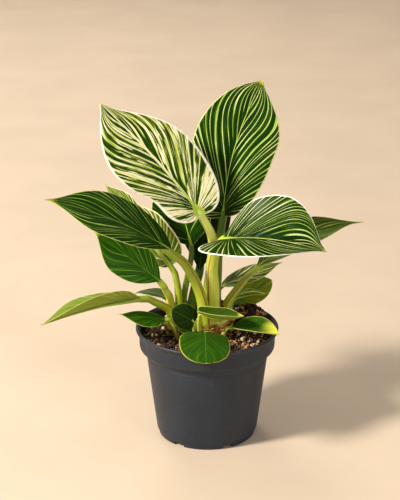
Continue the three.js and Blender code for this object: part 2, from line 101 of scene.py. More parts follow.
# Waves of the margin: length, what a larger blade adds to it, and how far along each leaf and half begins.
WAVE = Sizes(length=14, share=0.24, leaf_shift=0.37, half_shift=0.31)
QUILT = Sizes(spacing=6.5, height=0.2, mean=0.6)  # of the surface between veins; mean: share of the height
DRIP_POINT = 12  # the higher, the finer the drawn-out points of the leaves
RIB_STATIONS = (0.3, 0.6, 0.85)  # shares of the blade's length
RIB_RADII = (0.6, 0.42, 0.25)  # there, as shares of the stalk's radius at the joint
RIB_END = Sizes(place=0.97, radius=0.3)
RIB_DROP = 0.6  # how deep under the midrib the stalk's curve runs on, as a share of the rib's radius
RIB_SINK = 0.72  # the same for the line that it goes over to
SMALLEST_RIB = 0.5  # least radius at a station of the rib
JOINT_DROP = 0.6  # how far the stalk sinks under the blade at the joint, as a share of its own radius
# The channel on top of a stalk and the ridges beside it: places and widths as shares of a turn, heights as
# shares of the radius. under: how much of its upper half the rib loses, which lies against the blade.
CHANNEL = Sizes(depth=0.22, width=0.09, ridge_turn=0.135, ridge_height=0.12, ridge_width=0.035, under=0.62)
STALK_SMOOTHING = 40  # rounds that take the small bends out of a stalk
SHEATH_SPREAD = 0.24  # how much wider the base of a thick stalk is, where it sheathes the stem

# How the veins run. fan: stretch of the midrib that the base fan leaves from, as a share of the blade, and
# wedge_fan: how much longer that is on a wedge-shaped base. stretch: how far along the blade a vein goes on
# its way from midrib to margin; those that leave too late for that run on into the tip. leave: below 1, a
# vein leaves the midrib at a finer angle. lean and crowding: rows of the mesh near the tip and the base.
# packing: spacing of the veins halfway out, as a share of that along the margin. bow: below 1, the veins of
# the base fan bow outwards.
VEINS = Sizes(
    fan=0.07, wedge_fan=0.8, stretch=0.52, leave=0.8, lean=2.0, crowding=0.6, packing=0.6, bow=0.68
)
STRETCHED = {
    "leaf_tall_dark": 0.68, "leaf_right_broad": 0.85, "leaf_left_broad": 0.62, "leaf_right_long": 0.7,
}

# How finely a leaf is divided: rows of the base fan, rows from there to the tip, columns on each side,
# and the sides and steps of the stalk.
LARGE = Sizes(fan=26, rows=54, columns=18, sides=28, steps=60)
SMALL = Sizes(fan=16, rows=30, columns=12, sides=20, steps=30)

# One half of a blade. width: from midrib to margin at the widest place, which lies at share widest of the
# length. The base curve leaves the joint towards (-lobe, full * width), and the tip curve arrives from
# (1 - tip, taper * width). fold: angle at which the half rises from the midrib, and curl: the further turn
# out to its margin, in degrees. dent: place, depth and spread of a hollow in the margin.
Half = namedtuple("Half", "width widest lobe full tip taper fold curl dent", defaults=(None,))

# route: points of the stalk from its root to the joint, where the blade begins. stalk: radii at both ends.
# halves: right and left. tip: the blade's point. face: the way its upper side looks. bow: how far the midrib
# bows out towards the upper side and towards the right half, as shares of the length. wave: height of the
# margin's waves. drip: share of the blade that is drawn out into a fine point. look and skin: the colours of
# blade and stalk.
Leaf = namedtuple("Leaf", "route stalk halves tip face bow wave drip look skin detail", defaults=(SMALL,))
LEAVES = {
    "leaf_tall_pale": Leaf(
        [(-3.2, 6.4, 99), (1.8, 6.6, 132), (4.6, 3, 160), (3.8, -0.6, 176), (-5, -6, 196)], (4.6, 3.4),
        [Half(32.5, 0.42, 0.1, 0.72, 0.14, 0.22, 8, -12),
         Half(34, 0.58, 0.03, 0.62, 0.06, 0.46, 12, -10, (0.27, 0.2, 0.14))],
        (-87, -4, 291), (0.2, -0.95, 0.3), (0.02, 0.02), 0.9, 0.045, "cream", "olive", LARGE,
    ),
    "leaf_tall_dark": Leaf(
        [(7, 11, 99), (8.5, 13, 137), (10, 12.5, 163), (13, 12, 189)], (4.2, 3.2),
        [Half(34, 0.6, 0.02, 0.55, 0.07, 0.42, 10, -12), Half(35, 0.5, 0.1, 0.7, 0.05, 0.5, 10, -12)],
        (46, 42, 297), (-0.1, -0.95, 0.3), (0.03, -0.055), 0.6, 0.03, "pinstripe", "green", LARGE,
    ),
    "leaf_right_broad": Leaf(
        [(5, -3, 99), (4, -4, 134), (4, -6, 155), (12, -12, 177)], (6.6, 4.4),
        [Half(38, 0.38, 0.34, 0.6, 0.1, 0.3, 42, -16), Half(37, 0.56, -0.16, 0.4, 0.08, 0.48, 30, -10)],
        (95, -45, 178), (-0.25, -0.58, 0.78), (0.1, 0), 0.7, 0.06, "bold", "bright", LARGE,
    ),
    "leaf_left_broad": Leaf(
        [(-1, -14, 99), (-4, -14, 124), (-14, -15, 150), (-29, -18, 169)], (5.4, 3.4),
        [Half(33, 0.46, -0.02, 0.6, 0.12, 0.2, 8, -10), Half(27, 0.6, -0.14, 0.28, 0.12, 0.22, 8, -10)],
        (-129, -50, 224), (0.5, -0.25, 0.8), (0.055, 0), 0.8, 0.05, "sparse", "lime", LARGE,
    ),
    "leaf_left_low": Leaf(
        [(-31, 5, 94), (-31, 6, 117), (-35, 6, 125), (-39, 6, 133)], (3.6, 2.6),
        [Half(17, 0.5, -0.08, 0.32, 0.12, 0.2, 8, -10), Half(18.5, 0.56, -0.1, 0.25, 0.12, 0.28, 8, -10)],
        (-93, 0, 179), (0.15, -0.85, 0.45), (0.02, 0), 0.4, 0.03, "plain", "lime", LARGE,
    ),
    "leaf_left_rear": Leaf(
        [(-25, 9, 94), (-24, 10, 117), (-26, 13, 132), (-30, 18, 143)], (3.4, 2.3),
        [Half(25, 0.4, -0.02, 0.6, 0.12, 0.15, 8, -5),
         Half(29, 0.36, 0.06, 0.95, 0.1, 0.34, 4, -5, (0.62, 0.3, 0.12))],
        (-87, 50, 205), (0.3, 0.8, 0.4), (0, 0), 0.6, 0.04, "rear", "lime", LARGE,
    ),
    "leaf_centre_left": Leaf(
        [(-19, 13, 94), (-20, 15, 112), (-17, 16, 131), (-14, 17, 147), (-13, 20, 159)], (2.9, 2.2),
        [Half(25, 0.46, -0.12, 0.5, 0.12, 0.15, 12, -8), Half(25, 0.46, -0.12, 0.5, 0.12, 0.15, -6, -4)],
        (-33, 48, 226), (0.1, -0.9, 0.4), (0.02, 0), 0.4, 0.03, "sparse", "green", LARGE,
    ),
    "leaf_centre_rear": Leaf(
        [(-12, 17, 80), (-13, 20, 106), (-10, 22, 122), (-7, 25, 134)], (4.2, 3.8),
        2 * [Half(21, 0.5, -0.18, 0.32, 0.12, 0.15, 12, -8)],
        (7, 70, 220), (-0.1, -0.9, 0.4), (0.02, 0), 0.4, 0.03, "deep", "green", LARGE,
    ),
    "leaf_right_long": Leaf(
        [(15, 1, 99), (16, 2, 114), (28, 8, 129), (41, 15, 142)], (3.8, 2.6),
        2 * [Half(18, 0.45, -0.1, 0.4, 0.24, 0.1, 25, -8)],
        (134, 55, 169), (0, -0.35, 0.94), (0.1, 0), 0.3, 0, "dusk", "lime", LARGE,
    ),
    "leaf_left_drooping": Leaf(
        [(-29, -3, 94), (-30, -3, 110), (-43, -8, 120), (-55, -14, 127)], (4.4, 2.8),
        [Half(14, 0.55, -0.1, 0.25, 0.15, 0.15, 22, -5), Half(16, 0.36, -0.1, 0.3, 0.2, 0.1, 60, 0)],
        (-134, -58, 120), (0, -0.1, 1), (0.035, 0), 0.3, 0, "olive", "lime", LARGE,
    ),
    "leaf_right_slim": Leaf(
        [(12, 15, 82), (10, 18, 114), (12, 26, 121)], (2.4, 1.6),
        2 * [Half(10.5, 0.5, -0.05, 0.45, 0.12, 0.2, 6, -10)],
        (65, 50, 134), (0, -0.3, 1), (0.02, 0), 0.3, 0.03, "grey", "green",
    ),
    "leaf_right_olive": Leaf(
        [(22, 12, 82), (20, 20, 105), (25, 28, 106)], (2.4, 1.6),
        [Half(14, 0.5, -0.02, 0.6, 0.1, 0.3, 4, -5), Half(12, 0.6, -0.02, 0.6, 0.02, 0.6, 4, -5)],
        (56, 45, 120), (0.1, 0.9, 0.1), (0, 0), 0.2, 0, "moss", "green",
    ),
    "leaf_right_folded": Leaf(
        [(21, 3, 82), (19, 8, 108), (23, 12, 116)], (2.2, 1.4),
        2 * [Half(9, 0.45, -0.03, 0.5, 0.12, 0.2, 30, -10)],
        (49, 16, 118), (0, 0.2, 1), (0.05, 0), 0.2, 0, "folded", "lime",
    ),
    "leaf_left_behind": Leaf(
        [(-34, 19, 82), (-31, 20, 106), (-34, 26, 110)], (2.2, 1.5),
        2 * [Half(12, 0.45, -0.03, 0.5, 0.12, 0.15, 12, -10)],
        (-63, 45, 107), (0, 0.1, 1), (0.08, 0), 0.2, 0, "ash", "green",
    ),
    "leaf_left_soil": Leaf(
        [(-22, -12, 80), (-29, -12, 104), (-35, -14, 107)], (2.2, 1.6),
        [Half(6.8, 0.42, -0.03, 0.5, 0.12, 0.15, -4, -6), Half(10, 0.48, -0.05, 0.45, 0.12, 0.25, 5, -10)],
        (-72, -34, 120), (0, -0.55, 0.83), (0, 0), 0.3, 0.02, "plain", "pale",
    ),
    "leaf_round_dark": Leaf(
        [(-10, -15, 80), (-11, -24, 109)], (2.2, 1.8),
        2 * [Half(10.5, 0.45, 0.15, 0.8, 0.1, 0.7, 5, -10)],
        (-29, -31, 123), (0.1, -0.9, 0.45), (0.02, 0), 0.2, 0, "deep", "pale",
    ),
    "leaf_cupped": Leaf(
        [(-3, -19, 80), (-7, -23, 102), (-5.5, -27, 117.5)], (2.2, 1.4),
        [Half(8, 0.5, 0.3, 0.7, 0.12, 0.4, 50, 15), Half(11, 0.5, 0.3, 0.7, 0.12, 0.4, 10, 10)],
        (30, -33, 118), (0, -0.3, 0.95), (-0.11, 0), 0.1, 0, "cup", "pale",
    ),
    "leaf_right_soil": Leaf(
        [(12.5, -16.5, 80), (13, -17.5, 97), (20, -16.5, 101)], (2.2, 1.6),
        [Half(11, 0.5, -0.1, 0.3, 0.1, 0.3, 50, -5), Half(13, 0.52, -0.1, 0.3, 0.08, 0.45, 8, -10)],
        (59, -32, 101), (0.1, -0.6, 0.8), (0.05, 0), 0.3, 0, "yellow_tip", "pale",
    ),
    "leaf_rim_round": Leaf(
        [(4, -19, 80), (2, -21, 95), (-2, -27, 101)], (2.4, 1.8),
        [Half(21.5, 0.42, 0.36, 1, 0, 0.8, 0, -14), Half(20, 0.5, -0.04, 0.85, 0, 0.9, 0, -14)],
        (-1, -77, 95), (0, -0.2, 1), (0.08, 0), 0.5, 0, "round", "pale",
    ),
    "leaf_small_dark": Leaf(
        [(-15, -10, 80), (-13, -13, 98)], (1.6, 1.2),
        2 * [Half(6, 0.45, 0.1, 0.8, 0.2, 0.5, 5, -10)],
        (-24, -20, 100), (0, -0.6, 0.8), (0.02, 0), 0.1, 0, "deep", "green",
    ),
}

# Blade colours. ramp: from the green between the veins over the stripes' fringe to their middle. spacing: of
# the pin stripes, in mm. width: least and most share of the spacing that a stripe takes. bright: how far up
# the ramp the stripes come, least and most. minor: the same for the hairlines between them. glow: how far up
# the green itself comes in places. grain: how strongly fine streaks break all this up. margin and edge:
# width in mm and colour of the pale margin. rib and reach: colour beside the midrib and its width in mm.
# tip: how much of the blade's end is yellow. back: how far the underside turns to the colour behind.
# flood: share of the blade that broad pale streaks cover, and wash: how much more at its base. late: how far
# from the midrib, in mm, the last stripes begin. foot: colour beside the midrib near the joint. A look takes
# from USUAL what it doesn't name.
USUAL = {
    "spacing": 5.0, "bright": (0.3, 0.8), "minor": 0.2, "glow": 0.9, "grain": 0.2, "margin": 0.7,
    "tip": 0.05, "back": 0.4, "flood": 0.0, "wash": 0.0, "late": 18.0, "foot": None,
    "behind": (0.28, 0.36, 0.05),
}
Look = namedtuple("Look", ["ramp", "width", "edge", "rib", "reach", *USUAL], defaults=USUAL.values())
LIME = (0.40, 0.54, 0.05)
LOOKS = {
    "cream": Look(
        ((0.007, 0.034, 0.0005), (0.05, 0.13, 0.002), (0.52, 0.58, 0.08), (0.92, 0.88, 0.56)),
        width=(0.2, 0.5), bright=(0.7, 1.0), minor=0.75, glow=0.3, grain=0.72, margin=3.0,
        edge=(0.94, 0.90, 0.74), rib=(0.86, 0.84, 0.46), reach=4.4, tip=0.03, back=0.25, flood=0.30,
        wash=0.14, foot=LIME,
    ),
    "pinstripe": Look(
        ((0.003, 0.020, 0.0004), (0.020, 0.078, 0.003), (0.26, 0.40, 0.04), (0.70, 0.74, 0.30)),
        spacing=4.6, width=(0.14, 0.3), bright=(0.6, 1.0), minor=0.45, glow=0.35, grain=0.25,
        margin=1.2, edge=(0.66, 0.70, 0.24), rib=(0.54, 0.64, 0.10), reach=1.4, tip=0.035, back=0.45,
        foot=LIME,
    ),
    "bold": Look(
        ((0.003, 0.019, 0.0003), (0.018, 0.075, 0.002), (0.30, 0.42, 0.05), (0.84, 0.84, 0.44)),
        spacing=4.4, width=(0.12, 0.28), bright=(0.6, 1.0), minor=0.45, glow=0.3, grain=0.35,
        margin=1.6, edge=(0.94, 0.92, 0.78), rib=(0.62, 0.70, 0.16), reach=1.8, tip=0.04, back=0.6,
        foot=LIME,
    ),
    "sparse": Look(
        ((0.005, 0.026, 0.0005), (0.024, 0.095, 0.002), (0.22, 0.37, 0.025), (0.58, 0.67, 0.16)),
        spacing=5.4, width=(0.10, 0.2), bright=(0.5, 1.0), minor=0.15, glow=0.7, grain=0.14, margin=0.9,
        edge=(0.60, 0.66, 0.18), rib=(0.36, 0.50, 0.05), reach=1.3, tip=0.09, back=0.5, late=44.0,
        foot=LIME,
    ),
    "plain": Look(
        ((0.015, 0.062, 0.001), (0.055, 0.165, 0.007), (0.14, 0.29, 0.025), (0.28, 0.42, 0.06)),
        spacing=6.2, width=(0.1, 0.22), bright=(0.35, 0.8), glow=0.7, grain=0.15, margin=0.6,
        edge=(0.44, 0.56, 0.10), rib=(0.12, 0.28, 0.02), reach=0.9, tip=0.07, back=0.5,
    ),
    "dusk": Look(
        ((0.026, 0.050, 0.003), (0.07, 0.105, 0.010), (0.20, 0.25, 0.03), (0.36, 0.40, 0.08)),
        width=(0.1, 0.3), minor=0.3, glow=0.7, edge=(0.46, 0.48, 0.10), rib=(0.24, 0.32, 0.04),
        reach=1.0, flood=0.06,
    ),
    "deep": Look(
        ((0.010, 0.030, 0.001), (0.018, 0.050, 0.002), (0.04, 0.10, 0.006), (0.09, 0.18, 0.012)),
        width=(0.06, 0.14), bright=(0.2, 0.6), glow=0.5, grain=0.15, margin=0.4,
        edge=(0.14, 0.24, 0.03), rib=(0.05, 0.13, 0.01), reach=0.7, tip=0.0,
    ),
    "olive": Look(
        ((0.17, 0.24, 0.018), (0.27, 0.35, 0.055), (0.45, 0.51, 0.16), (0.68, 0.69, 0.36)),
        width=(0.1, 0.3), bright=(0.25, 0.6), minor=0.25, edge=(0.62, 0.62, 0.12),
        rib=(0.46, 0.52, 0.06), reach=1.2, back=0.3,
    ),
    "moss": Look(
        ((0.085, 0.120, 0.0006), (0.155, 0.20, 0.002), (0.26, 0.31, 0.010), (0.38, 0.42, 0.04)),
        spacing=4.6, width=(0.1, 0.26), minor=0.4, grain=0.25, edge=(0.42, 0.44, 0.05),
        rib=(0.26, 0.32, 0.02), reach=1.0, back=0.1,
    ),
    "rear": Look(
        ((0.016, 0.046, 0.001), (0.07, 0.13, 0.004), (0.38, 0.43, 0.08), (0.82, 0.79, 0.44)),
        spacing=3.4, width=(0.16, 0.44), bright=(0.5, 1.0), minor=0.6, glow=0.4, grain=0.45, margin=1.4,
        edge=(0.90, 0.86, 0.62), rib=(0.60, 0.62, 0.16), reach=1.5, back=0.18, flood=0.12,
    ),
    "grey": Look(
        ((0.05, 0.085, 0.005), (0.15, 0.19, 0.015), (0.44, 0.46, 0.10), (0.82, 0.80, 0.42)),
        spacing=3.6, width=(0.15, 0.36), bright=(0.5, 1.0), minor=0.5, glow=0.7, grain=0.3,
        edge=(0.58, 0.60, 0.28), rib=(0.44, 0.50, 0.16), reach=0.9, tip=0.04, flood=0.08,
    ),
    "ash": Look(
        ((0.020, 0.050, 0.003), (0.07, 0.12, 0.010), (0.22, 0.27, 0.06), (0.46, 0.48, 0.18)),
        spacing=4.0, width=(0.08, 0.22), minor=0.3, glow=0.4, edge=(0.56, 0.58, 0.26),
        rib=(0.36, 0.42, 0.14), reach=0.9, tip=0.04,
    ),
    "cup": Look(
        ((0.030, 0.066, 0.004), (0.06, 0.11, 0.008), (0.11, 0.17, 0.02), (0.20, 0.28, 0.04)),
        spacing=3.6, width=(0.06, 0.16), bright=(0.1, 0.4), minor=0.15, glow=0.6,
        edge=(0.62, 0.66, 0.14), rib=(0.06, 0.12, 0.01), reach=0.6, tip=0.15, back=0.85,
        behind=(0.36, 0.46, 0.06),
    ),
    "folded": Look(
        ((0.08, 0.17, 0.003), (0.19, 0.31, 0.008), (0.42, 0.52, 0.04), (0.66, 0.70, 0.14)),
        spacing=4.0, width=(0.1, 0.26), minor=0.3, grain=0.25, margin=0.9, edge=(0.76, 0.76, 0.24),
        rib=(0.46, 0.54, 0.05), reach=1.0, tip=0.12, back=0.2,
    ),
    "yellow_tip": Look(
        ((0.020, 0.070, 0.002), (0.04, 0.115, 0.006), (0.10, 0.21, 0.015), (0.22, 0.36, 0.04)),
        width=(0.06, 0.14), bright=(0.2, 0.6), glow=0.8, grain=0.15, margin=0.6,
        edge=(0.62, 0.66, 0.12), rib=(0.07, 0.19, 0.01), reach=0.8, tip=0.36, back=0.5,
    ),
    "round": Look(
        ((0.018, 0.068, 0.002), (0.034, 0.108, 0.005), (0.08, 0.19, 0.012), (0.18, 0.34, 0.04)),
        spacing=5.6, width=(0.08, 0.18), bright=(0.25, 0.5), margin=0.8, edge=(0.46, 0.46, 0.05),
        rib=(0.09, 0.22, 0.02), reach=0.9, tip=0.0, back=0.5,
    ),
}
RAMP_PLACES = (0.0, 0.3, 0.6, 1.0)
TIP_YELLOW = (0.68, 0.66, 0.07)

# Stalk colours: at the root, at the joint, along the rib, and the strength of the red line on its ridges.
Skin = namedtuple("Skin", "root joint rib red")
SKINS = {
    "lime": Skin((0.50, 0.56, 0.025), (0.28, 0.38, 0.010), (0.34, 0.44, 0.04), 1.0),
    "bright": Skin((0.66, 0.72, 0.07), (0.48, 0.56, 0.06), (0.42, 0.54, 0.10), 0.8),
    "olive": Skin((0.46, 0.50, 0.03), (0.62, 0.68, 0.14), (0.42, 0.52, 0.05), 0.6),
    "pale": Skin((0.46, 0.40, 0.09), (0.46, 0.54, 0.06), (0.30, 0.40, 0.03), 0.3),
    "green": Skin((0.16, 0.25, 0.006), (0.09, 0.19, 0.006), (0.03, 0.10, 0.004), 0.2),
}
RIDGE_RED = (0.38, 0.045, 0.025)

# ---------------- making meshes


def add_object(name, data):
    made = bpy.data.objects.new(name, data)
    bpy.context.scene.collection.objects.link(made)
    return made


def mesh_object(name, points, faces):
    """An object in the scene whose points are given in mm."""
    mesh = bpy.data.meshes.new(name)
    corners = [tuple(map(int, face)) for face in faces]
    mesh.from_pydata((np.asarray(points, float) * MM).tolist(), [], corners)
    return add_object(name, mesh)


def piece(name, points, faces, slot, materials, nodes=(), paint=None, fields=None, merge=False):
    """A mesh object that rides on the frame. paint gives each face's material, and fields the named vectors
    that its materials read at each point."""
    made = mesh_object(name, points, faces)
    mesh = made.data
    for material in materials:
        mesh.materials.append(material)
    if paint is not None:
        mesh.polygons.foreach_set("material_index", np.asarray(paint, np.int32))
    for field, values in (fields or {}).items():
        layer = mesh.attributes.new(field, "FLOAT_VECTOR", "POINT")
        layer.data.foreach_set("vector", np.asarray(values, np.float32).ravel())
    if merge:
        work = bmesh.new()
        work.from_mesh(mesh)
        bmesh.ops.remove_doubles(work, verts=work.verts, dist=2e-6)
        work.to_mesh(mesh)
        work.free()
    mesh.shade_smooth()
    mesh.update()
    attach(made, BODY)
    if nodes:
        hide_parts(*nodes)
    return made


class Heap:
    """Small parts gathered into one piece, each with a shade of its own."""

    def __init__(self):
        self.points, self.faces, self.shades = [], [], []

    def add(self, points, faces, shade=(0, 0, 0)):
        """faces count from the part's own first point."""
        self.faces += [tuple(np.asarray(face) + len(self.points)) for face in faces]
        self.points += [tuple(point) for point in points]
        self.shades += [shade] * len(points)

    def piece(self, name, slot, material):
        piece(name, self.points, self.faces, slot, [material], fields={"grain": self.shades})


def grid_faces(ids, closed=False):
    """Quads between the rows and columns of a grid of point numbers; closed joins last column to first."""
    if closed:
        ids = np.concatenate([ids, ids[:, :1]], axis=1)
    quads = np.stack([ids[:-1, :-1], ids[:-1, 1:], ids[1:, 1:], ids[1:, :-1]], axis=-1)
    return quads.reshape(-1, 4)


def strip(one, other):
    """Quads between two rows of point numbers."""
    return grid_faces(np.stack([one, other], axis=1))


def tube_faces(count, sides, turned=False):
    """Quads and end caps of rings of points that close a tube; turned where the rings run the other way."""
    ids = np.arange(count).reshape(-1, sides)
    faces = [*grid_faces(ids, closed=True), ids[0][::-1], ids[-1]]
    return [face[::-1] for face in faces] if turned else faces


def turns(sides):
    """Angles of the points round a ring."""
    return 2 * np.pi * np.arange(sides) / sides


def around(radius, turn, x=0.0, y=0.0):
    """The place at some distance from an axis at x and y, in one direction."""
    return x + radius * cos(turn), y + radius * sin(turn)


def rotated(x, y, angle):
    c, s = cos(angle), sin(angle)
    return c * x - s * y, s * x + c * y


def unit(vectors):
    return vectors / np.maximum(np.linalg.norm(vectors, axis=-1, keepdims=True), 1e-9)


def smooth(low, high, value):
    t = np.clip((value - low) / (high - low), 0, 1)
    return t * t * (3 - 2 * t)


def cubic(p0, p1, p2, p3, t):
    return (1 - t) ** 3 * p0 + 3 * t * (1 - t) ** 2 * p1 + 3 * t * t * (1 - t) * p2 + t**3 * p3


def spline(points, t):
    """Catmull-Rom curve through points; t counts the points."""
    points = np.array(points, float)
    ends = np.vstack([2 * points[0] - points[1], points, 2 * points[-1] - points[-2]])
    before = np.clip(np.floor(t).astype(int), 0, len(points) - 2)
    u = (t - before)[:, None]
    p0, p1, p2, p3 = (ends[before + k] for k in range(4))
    bend = (2 * p0 - 5 * p1 + 4 * p2 - p3) * u**2
    return (2 * p1 + (p2 - p0) * u + bend + (3 * p1 - p0 - 3 * p2 + p3) * u**3) / 2


# ---------------- materials


def add_node(tree, kind, inputs=(), **settings):
    """A shader node. inputs gives its sockets a number, a colour or what another node gives out."""
    made = tree.nodes.new("ShaderNode" + kind)
    for key, value in settings.items():
        setattr(made, key, value)
    for key, value in dict(inputs).items():
        if isinstance(value, Value):
            tree.links.new(value.socket, made.inputs[key])
        else:
            coloured = isinstance(value, tuple) and made.inputs[key].type == "RGBA"
            made.inputs[key].default_value = (*value, 1) if coloured else value
    return made


class Value:
    """What a node of a material gives out, to be counted with like a number."""

    def __init__(self, socket):
        self.socket = socket

    def node(self, kind, inputs, out=0, **settings):
        return Value(add_node(self.socket.id_data, kind, inputs, **settings).outputs[out])

    def parts(self):
        """The three numbers of a vector."""
        split = add_node(self.socket.id_data, "SeparateXYZ", {0: self})
        return [Value(socket) for socket in split.outputs]

    def math(self, operation, other=0.0):
        return self.node("Math", {0: self, 1: other}, operation=operation)

    def __add__(self, other):
        return self.math("ADD", other)

    def __sub__(self, other):
        return self.math("SUBTRACT", other)

    def __mul__(self, other):
        return self.math("MULTIPLY", other)

    def __abs__(self):
        return self.math("ABSOLUTE")

    def step(self, low, high, to_low=0.0, to_high=1.0):
        """Smoothly from to_low, where this is at low, to to_high, where it is at high."""
        inputs = {0: self, 1: low, 2: high, 3: to_low, 4: to_high}
        return self.node("MapRange", inputs, interpolation_type="SMOOTHSTEP")

    def noise(self, scale=1.0, detail=2.0, roughness=0.5):
        inputs = {"Vector": self, "Scale": scale, "Detail": detail, "Roughness": roughness}
        return self.node("TexNoise", inputs)

    def ramp(self, places, colours):
        """From colour to colour as this passes the places."""
        made = add_node(self.socket.id_data, "ValToRGB", {0: self})
        stops = made.color_ramp.elements
        for place in places[1:-1]:
            stops.new(place)
        for stop, place, colour in zip(stops, places, colours):
            stop.position = place
            stop.color = (*colour, 1)
        return Value(made.outputs[0])


def vector(x, y, z=0.0):
    return x.node("CombineXYZ", {0: x, 1: y, 2: z})


def mix(factor, a, b):
    """Colour a where the factor is 0 and b where it is 1. The node takes colours at sockets 6 and 7, and
    gives one out at 2."""
    known = next(value for value in (factor, a) if isinstance(value, Value))
    return known.node("Mix", {0: factor, 6: a, 7: b}, 2, data_type="RGBA")


class Surface:
    """A material with one Principled BSDF, whose uniform values are given by socket."""

    def __init__(self, name, **uniform):
        self.material = bpy.data.materials.new(name)
        self.material.use_nodes = True
        self.tree = self.material.node_tree
        self.inputs = self.tree.nodes["Principled BSDF"].inputs
        for socket, value in uniform.items():
            self.inputs[socket.replace("_", " ")].default_value = value

    def field(self, name):
        """The three numbers of a named vector of the mesh."""
        made = add_node(self.tree, "Attribute", attribute_name=name)
        return Value(made.outputs["Vector"]).parts()

    def where(self):
        return Value(add_node(self.tree, "TexCoord").outputs["Object"])

    def set(self, socket, value):
        self.tree.links.new(value.socket, self.inputs[socket])

    def bump(self, height, distance, strength):
        inputs = {"Height": height, "Distance": distance, "Strength": strength}
        self.set("Normal", height.node("Bump", inputs))


def blade_material(name, look, under):
    """The striped blade. Field "stripe" holds the place across the veins and along them from the midrib, in
    mm and below 0 on the left half, and the leaf's own number; "place" holds the share of the way to the tip
    and the distances in mm from the margin and from the midrib. A paleness is worked out from them, 0 in the
    green and 1 in the middle of a stripe, and the look's ramp turns it into a colour."""
    surface = Surface(name, Specular_IOR_Level=0.06)
    across, run, seed = surface.field("stripe")
    along, edge, mid = surface.field("place")
    hand = run.math("GREATER_THAN")
    half_number = hand * 3.7 + seed * 11.3
    gone = abs(run)

    def streaks(fine, long, detail=1.0, shift=0.0):
        """Noise drawn out along the veins: its waves per mm across them and along them."""
        return vector(across * fine + shift, run * long, half_number).noise(detail=detail)

    # pin stripes: one to a vein, each with its own width, strength and start, fading in and out on its way
    sway = streaks(0.12, 0.015)
    fray = streaks(0.9, 0.07, 2.0)
    counted = across * (1 / look.spacing) + sway * 1.2
    off = abs(counted.math("FRACT") - 0.5)
    own = vector(counted.math("FLOOR"), hand, seed)
    dice = own.node("TexWhiteNoise", {"Vector": own}, "Color", noise_dimensions="3D")
    chance, other, third = dice.parts()
    narrow, wide = look.width
    dim, full = look.bright
    frayed = (fray - 0.5) * 0.2 + off
    stripe = (chance * ((wide - narrow) / 2) + narrow / 2 - frayed).step(-0.06, 0.035)
    lasting = streaks(1 / look.spacing, 0.03, shift=5.0).step(0.25, 0.5, 0.55, 1.0)
    begins = third * (look.late + 8.0) - 8.0
    begun = (gone - begins).step(-4.0, 6.0, 0.12, 1.0)
    stripe = stripe * (other * (full - dim) + dim) * lasting * begun

    # hairlines between them
    hairline = abs(frayed - (third * 0.14 + 0.25)).step(0.0, 0.06, look.minor, 0.0)
    hairline = hairline * streaks(0.4, 0.04, shift=9.0).step(0.35, 0.6, 0.15, 1.0) * gone.step(8.0, 34.0)

    # broad pale streaks, lighter places in the green, and fine streaks through all of it
    green = streaks(0.5, 0.03, 2.0, shift=17.0).step(0.35, 0.7, 0.0, 0.3) * look.glow
    pale = stripe.math("MAXIMUM", hairline).math("MAXIMUM", green)
    fine = streaks(1.3, 0.09, 1.0, shift=31.0) - 0.5
    if look.flood:
        level = 0.72 - 0.40 * look.flood
        ragged = fine * 0.35 + streaks(0.34, 0.03, 3.0, shift=23.0)
        washed = across.step(14.0, 48.0, look.wash, 0.0)
        pale = pale.math("MAXIMUM", (ragged + washed).step(level - 0.04, level + 0.06))
    broken = fine * (pale * (1.6 * look.grain) + 0.4 * look.grain)
    colour = (pale + broken).ramp(RAMP_PLACES, look.ramp)

    # midrib, margin and tip
    narrowing = along * (-0.8 * look.reach) + look.reach
    beside = (fray * 1.4 + (mid - 0.7) - narrowing).step(-0.5, 0.5, 1.0, 0.0)
    colour = mix(beside, colour, mix(along.step(0.05, 0.5), look.foot or look.rib, look.rib))
    wander = vector(across * 0.25, hand, half_number).noise()
    ragged = wander * (-1.2 * look.margin) + (edge + 0.6 * look.margin)
    colour = mix(ragged.step(0.75 * look.margin, 1.15 * look.margin, 1.0, 0.0), colour, look.edge)
    if look.tip:
        at_tip = wander * (0.6 * look.tip) + along
        colour = mix(at_tip.step(1 - 0.9 * look.tip, 1 + 0.1 * look.tip), colour, TIP_YELLOW)
    if under:
        colour = mix(look.back, colour, look.behind)
    surface.set("Base Color", colour)

    low, high = (0.5, 0.66) if under else (0.30, 0.44)
    surface.set("Roughness", sway.step(0.3, 0.7, low, high))
    surface.bump(off.step(0.0, 0.22) * 0.8 + fray * 0.3, 0.0003, 0.6)
    return surface.material


def stalk_material(name, skin):
    """Skin of a stalk. Field "stripe" holds the turn round the stalk (0.25 on its upper side), the place from
    root (0) over joint (1) to the rib's end (2), and the leaf's own number."""
    surface = Surface(name, Roughness=0.42, Subsurface_Scale=0.002, Subsurface_Weight=0.15)
    turn, place, seed = surface.field("stripe")
    streaks = vector(turn * 26.0, place * 1.3, seed).noise(detail=3)
    blotches = vector(turn * 3.0, place * 4.0, seed).noise()
    colour = mix(place.step(0.0, 0.9), skin.root, skin.joint)
    colour = mix(place.step(0.98, 1.12), colour, skin.rib)
    pale = tuple(min(1, 1.5 * c + 0.06) for c in skin.joint)
    dark = tuple(0.55 * c for c in skin.joint)
    colour = mix(streaks.step(0.5, 0.72, 0.0, 0.55), colour, pale)
    colour = mix(blotches.step(0.52, 0.75, 0.0, 0.45), colour, dark)
    ridge = abs(abs(turn - 0.25) - CHANNEL.ridge_turn)
    red = (blotches * 0.02 + (ridge - 0.01)).step(0.010, 0.024, skin.red, 0.0)
    colour = mix(red * place.step(0.85, 1.05, 1.0, 0.0), colour, RIDGE_RED)
    surface.set("Base Color", colour)
    surface.bump(streaks, 0.0003, 0.5)
    return surface.material


